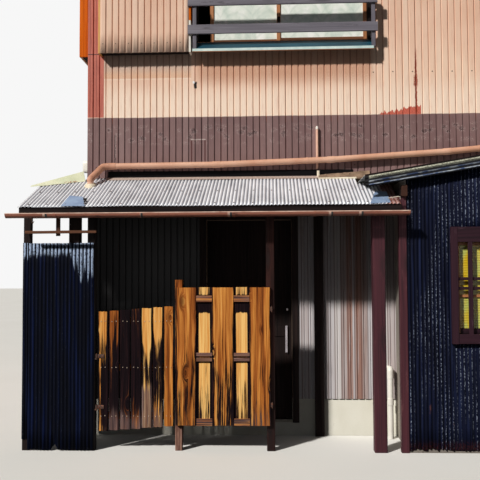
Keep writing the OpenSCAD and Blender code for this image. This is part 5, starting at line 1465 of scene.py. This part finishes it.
boxes = Piece()
EDGE_BOARD, SPLIT, WALL_GAP, FRONT_BOX_OUT = 0.019, -0.030, -0.0003, 0.110
NEAR, LID = BOX_W - EDGE_BOARD, BOX_H - EDGE_BOARD
# each board: its two corners along, out of and up the box, its axis (u runs along the wall),
# bevel, material, seed and, for the upright ones, how rough it is
for face, out, base, kind in (("front", FRONT_BOX_OUT, 3.570, 1), ("left", 0.116, 3.612, 0)):
    upright = {"rough": 0.002, "step": 0.08}
    rows = [((0, -out, 0), (EDGE_BOARD, WALL_GAP, BOX_H), "z", 0.002, kind, 180, upright)]
    if face == "front":
        rows += [((NEAR, -out, 0.300), (BOX_W, WALL_GAP, BOX_H), "z", 0.002, 0, 181, upright),
                 ((NEAR, -out, 0), (BOX_W, WALL_GAP, 0.300), "z", 0.002, 2, 185, upright)]
    else:
        # the end board is split along its grain
        rows += [((NEAR, -out, 0), (BOX_W, SPLIT - 0.003, BOX_H), "z", 0.002, 0, 181, upright),
                 ((NEAR, SPLIT, 0), (BOX_W, WALL_GAP, BOX_H), "z", 0.002, 0, 186, upright),
                 ((NEAR, SPLIT - 0.003, 0.004), (BOX_W - 0.008, SPLIT, BOX_H - 0.02), "z", 0.0005, 3, 187,
                  {})]
    # the bottom board, set back behind the sheet, is dark timber as painted shade under the box
    rows += [((EDGE_BOARD, -out, LID), (NEAR, WALL_GAP, BOX_H), "u", 0.002, 0, 182, {}),
             ((EDGE_BOARD, -out + 0.016, 0.010), (NEAR, WALL_GAP, 0.010 + EDGE_BOARD), "u", 0.002, 3, 183,
              {})]
    for (u0, d0, z0), (u1, d1, z1), along, bevel, material, seed, rest in rows:
        if face == "front":
            low, high = (BOX_U + u0, d0, base + z0), (BOX_U + u1, d1, base + z1)
        else:
            low, high = (d0, BOX_U + BOX_W - u1, base + z0), (d1, BOX_U + BOX_W - u0, base + z1)
        level_axis = "x" if face == "front" else "y"
        board(boxes, low, high, along.replace("u", level_axis), bevel, material, seed, **rest)
    sheet_d, sheet_z = -out + 0.0115, base + 0.001
    face_sheet = Piece()
    origin, across, outward = (BOX_U + EDGE_BOARD, sheet_d, sheet_z), X, -Y
    if face == "left":
        origin, across, outward = (sheet_d, BOX_U + NEAR, sheet_z), -Y, -X
    ribbed(face_sheet, origin, across, outward, BOX_W - 2 * EDGE_BOARD, BOX_H - 0.009)
    face_sheet.build(f"shutter_box_sheet_{face}", f"box_{face}", "pink_sheet", shell=0.002)
boxes.build("shutter_box_boards", "box_wood box_strip white dark", "orange_wood", replaces=["shutter_boxes"])

# The main roof and its gutters

PITCH = math.radians(24)
EAVE_OUT, GABLE_OUT, WALL_TOP = 0.420, 0.260, 5.050
BIG_WAVE, BIG_D = 0.076, 0.018
EAVE_END, FASCIA_Y = EAVE_OUT + 0.02, -EAVE_OUT - 0.018
DECK = (0.080 + 0.012) / math.cos(PITCH)
ridge_y = HOUSE_D / 2


def roof_line(y):
    """Height of the rafters' underside at y."""
    return WALL_TOP + (ridge_y - 0.013 - abs(y - ridge_y)) * math.tan(PITCH)


roof = Piece()
for eave_y, way in ((-EAVE_END, 1), (HOUSE_D + EAVE_END, -1)):
    slope = Vector((0, way * math.cos(PITCH), math.sin(PITCH)))
    off = Vector((0, -way * math.sin(PITCH), math.cos(PITCH)))
    start = Vector((-GABLE_OUT, eave_y, roof_line(-EAVE_END) + DECK)) + off * 0.001
    lapped(roof, start, X, slope, off, GABLE_OUT + HOUSE_W, (ridge_y + EAVE_END) / math.cos(PITCH) - 0.012,
           BIG_WAVE, BIG_D, 10, SHEET, rows=16, dent=0.006)
roof.build("main_roof_sheets", "main_roof", "roof_sheet", replaces=["main_roof"], shell=SHEET)

main = Piece()
MAIN_R = 0.050
MAIN_Y = FASCIA_Y - MAIN_R - 0.004
MAIN_Z = roof_line(-EAVE_OUT) - 0.030
for y, back in ((MAIN_Y, FASCIA_Y), (HOUSE_D - MAIN_Y, HOUSE_D - FASCIA_Y)):
    gutter(main, -GABLE_OUT, HOUSE_W, y, MAIN_Z, MAIN_R, [-GABLE_OUT + 0.11 + 0.79 * i for i in range(6)],
           (1.2, 3.0), back)
top = MAIN_Z - MAIN_R + 0.004
for y, wall_y, foot in ((MAIN_Y, DRAIN_Y, drain_at(DRAIN_END)[2] + DRAIN_R + 0.0003),
                        (HOUSE_D - MAIN_Y, HOUSE_D - DRAIN_Y, 0.06)):
    pipe_with_elbows(main, [(DRAIN_END, y, top), (DRAIN_END, y, top - 0.06), (DRAIN_END, wall_y, top - 0.26),
                            (DRAIN_END, wall_y, foot)], DRAIN_R, 0.05)
main.build("main_gutters_run", "gutter iron", "pipe_peach", replaces=["main_gutters"])

# Nails on the wall sheets

wall_nails = Piece()
for z, step, start in ((2.50, 10, 1), (3.38, 3, 44), (4.30, 5, 1), (4.95, 5, 1)):
    for i in range(start, 76, step):
        x = (i + 0.38) * RIB_PITCH
        if z < 3.5 or not BOX_U - 0.02 < x < WIN_X + WIN_W + 0.05:
            dome(wall_nails, (x, -0.0003, z + 0.01 * wobble(i, z)), 0.006, 0.003)
for i in range(7):
    x = BOX_U + EDGE_BOARD + (2 * i + 0.4) * RIB_PITCH
    dome(wall_nails, (x, 0.002 - FRONT_BOX_OUT, 3.660), 0.005, 0.003)
wall_nails.build("cladding_nails", "iron", "iron")
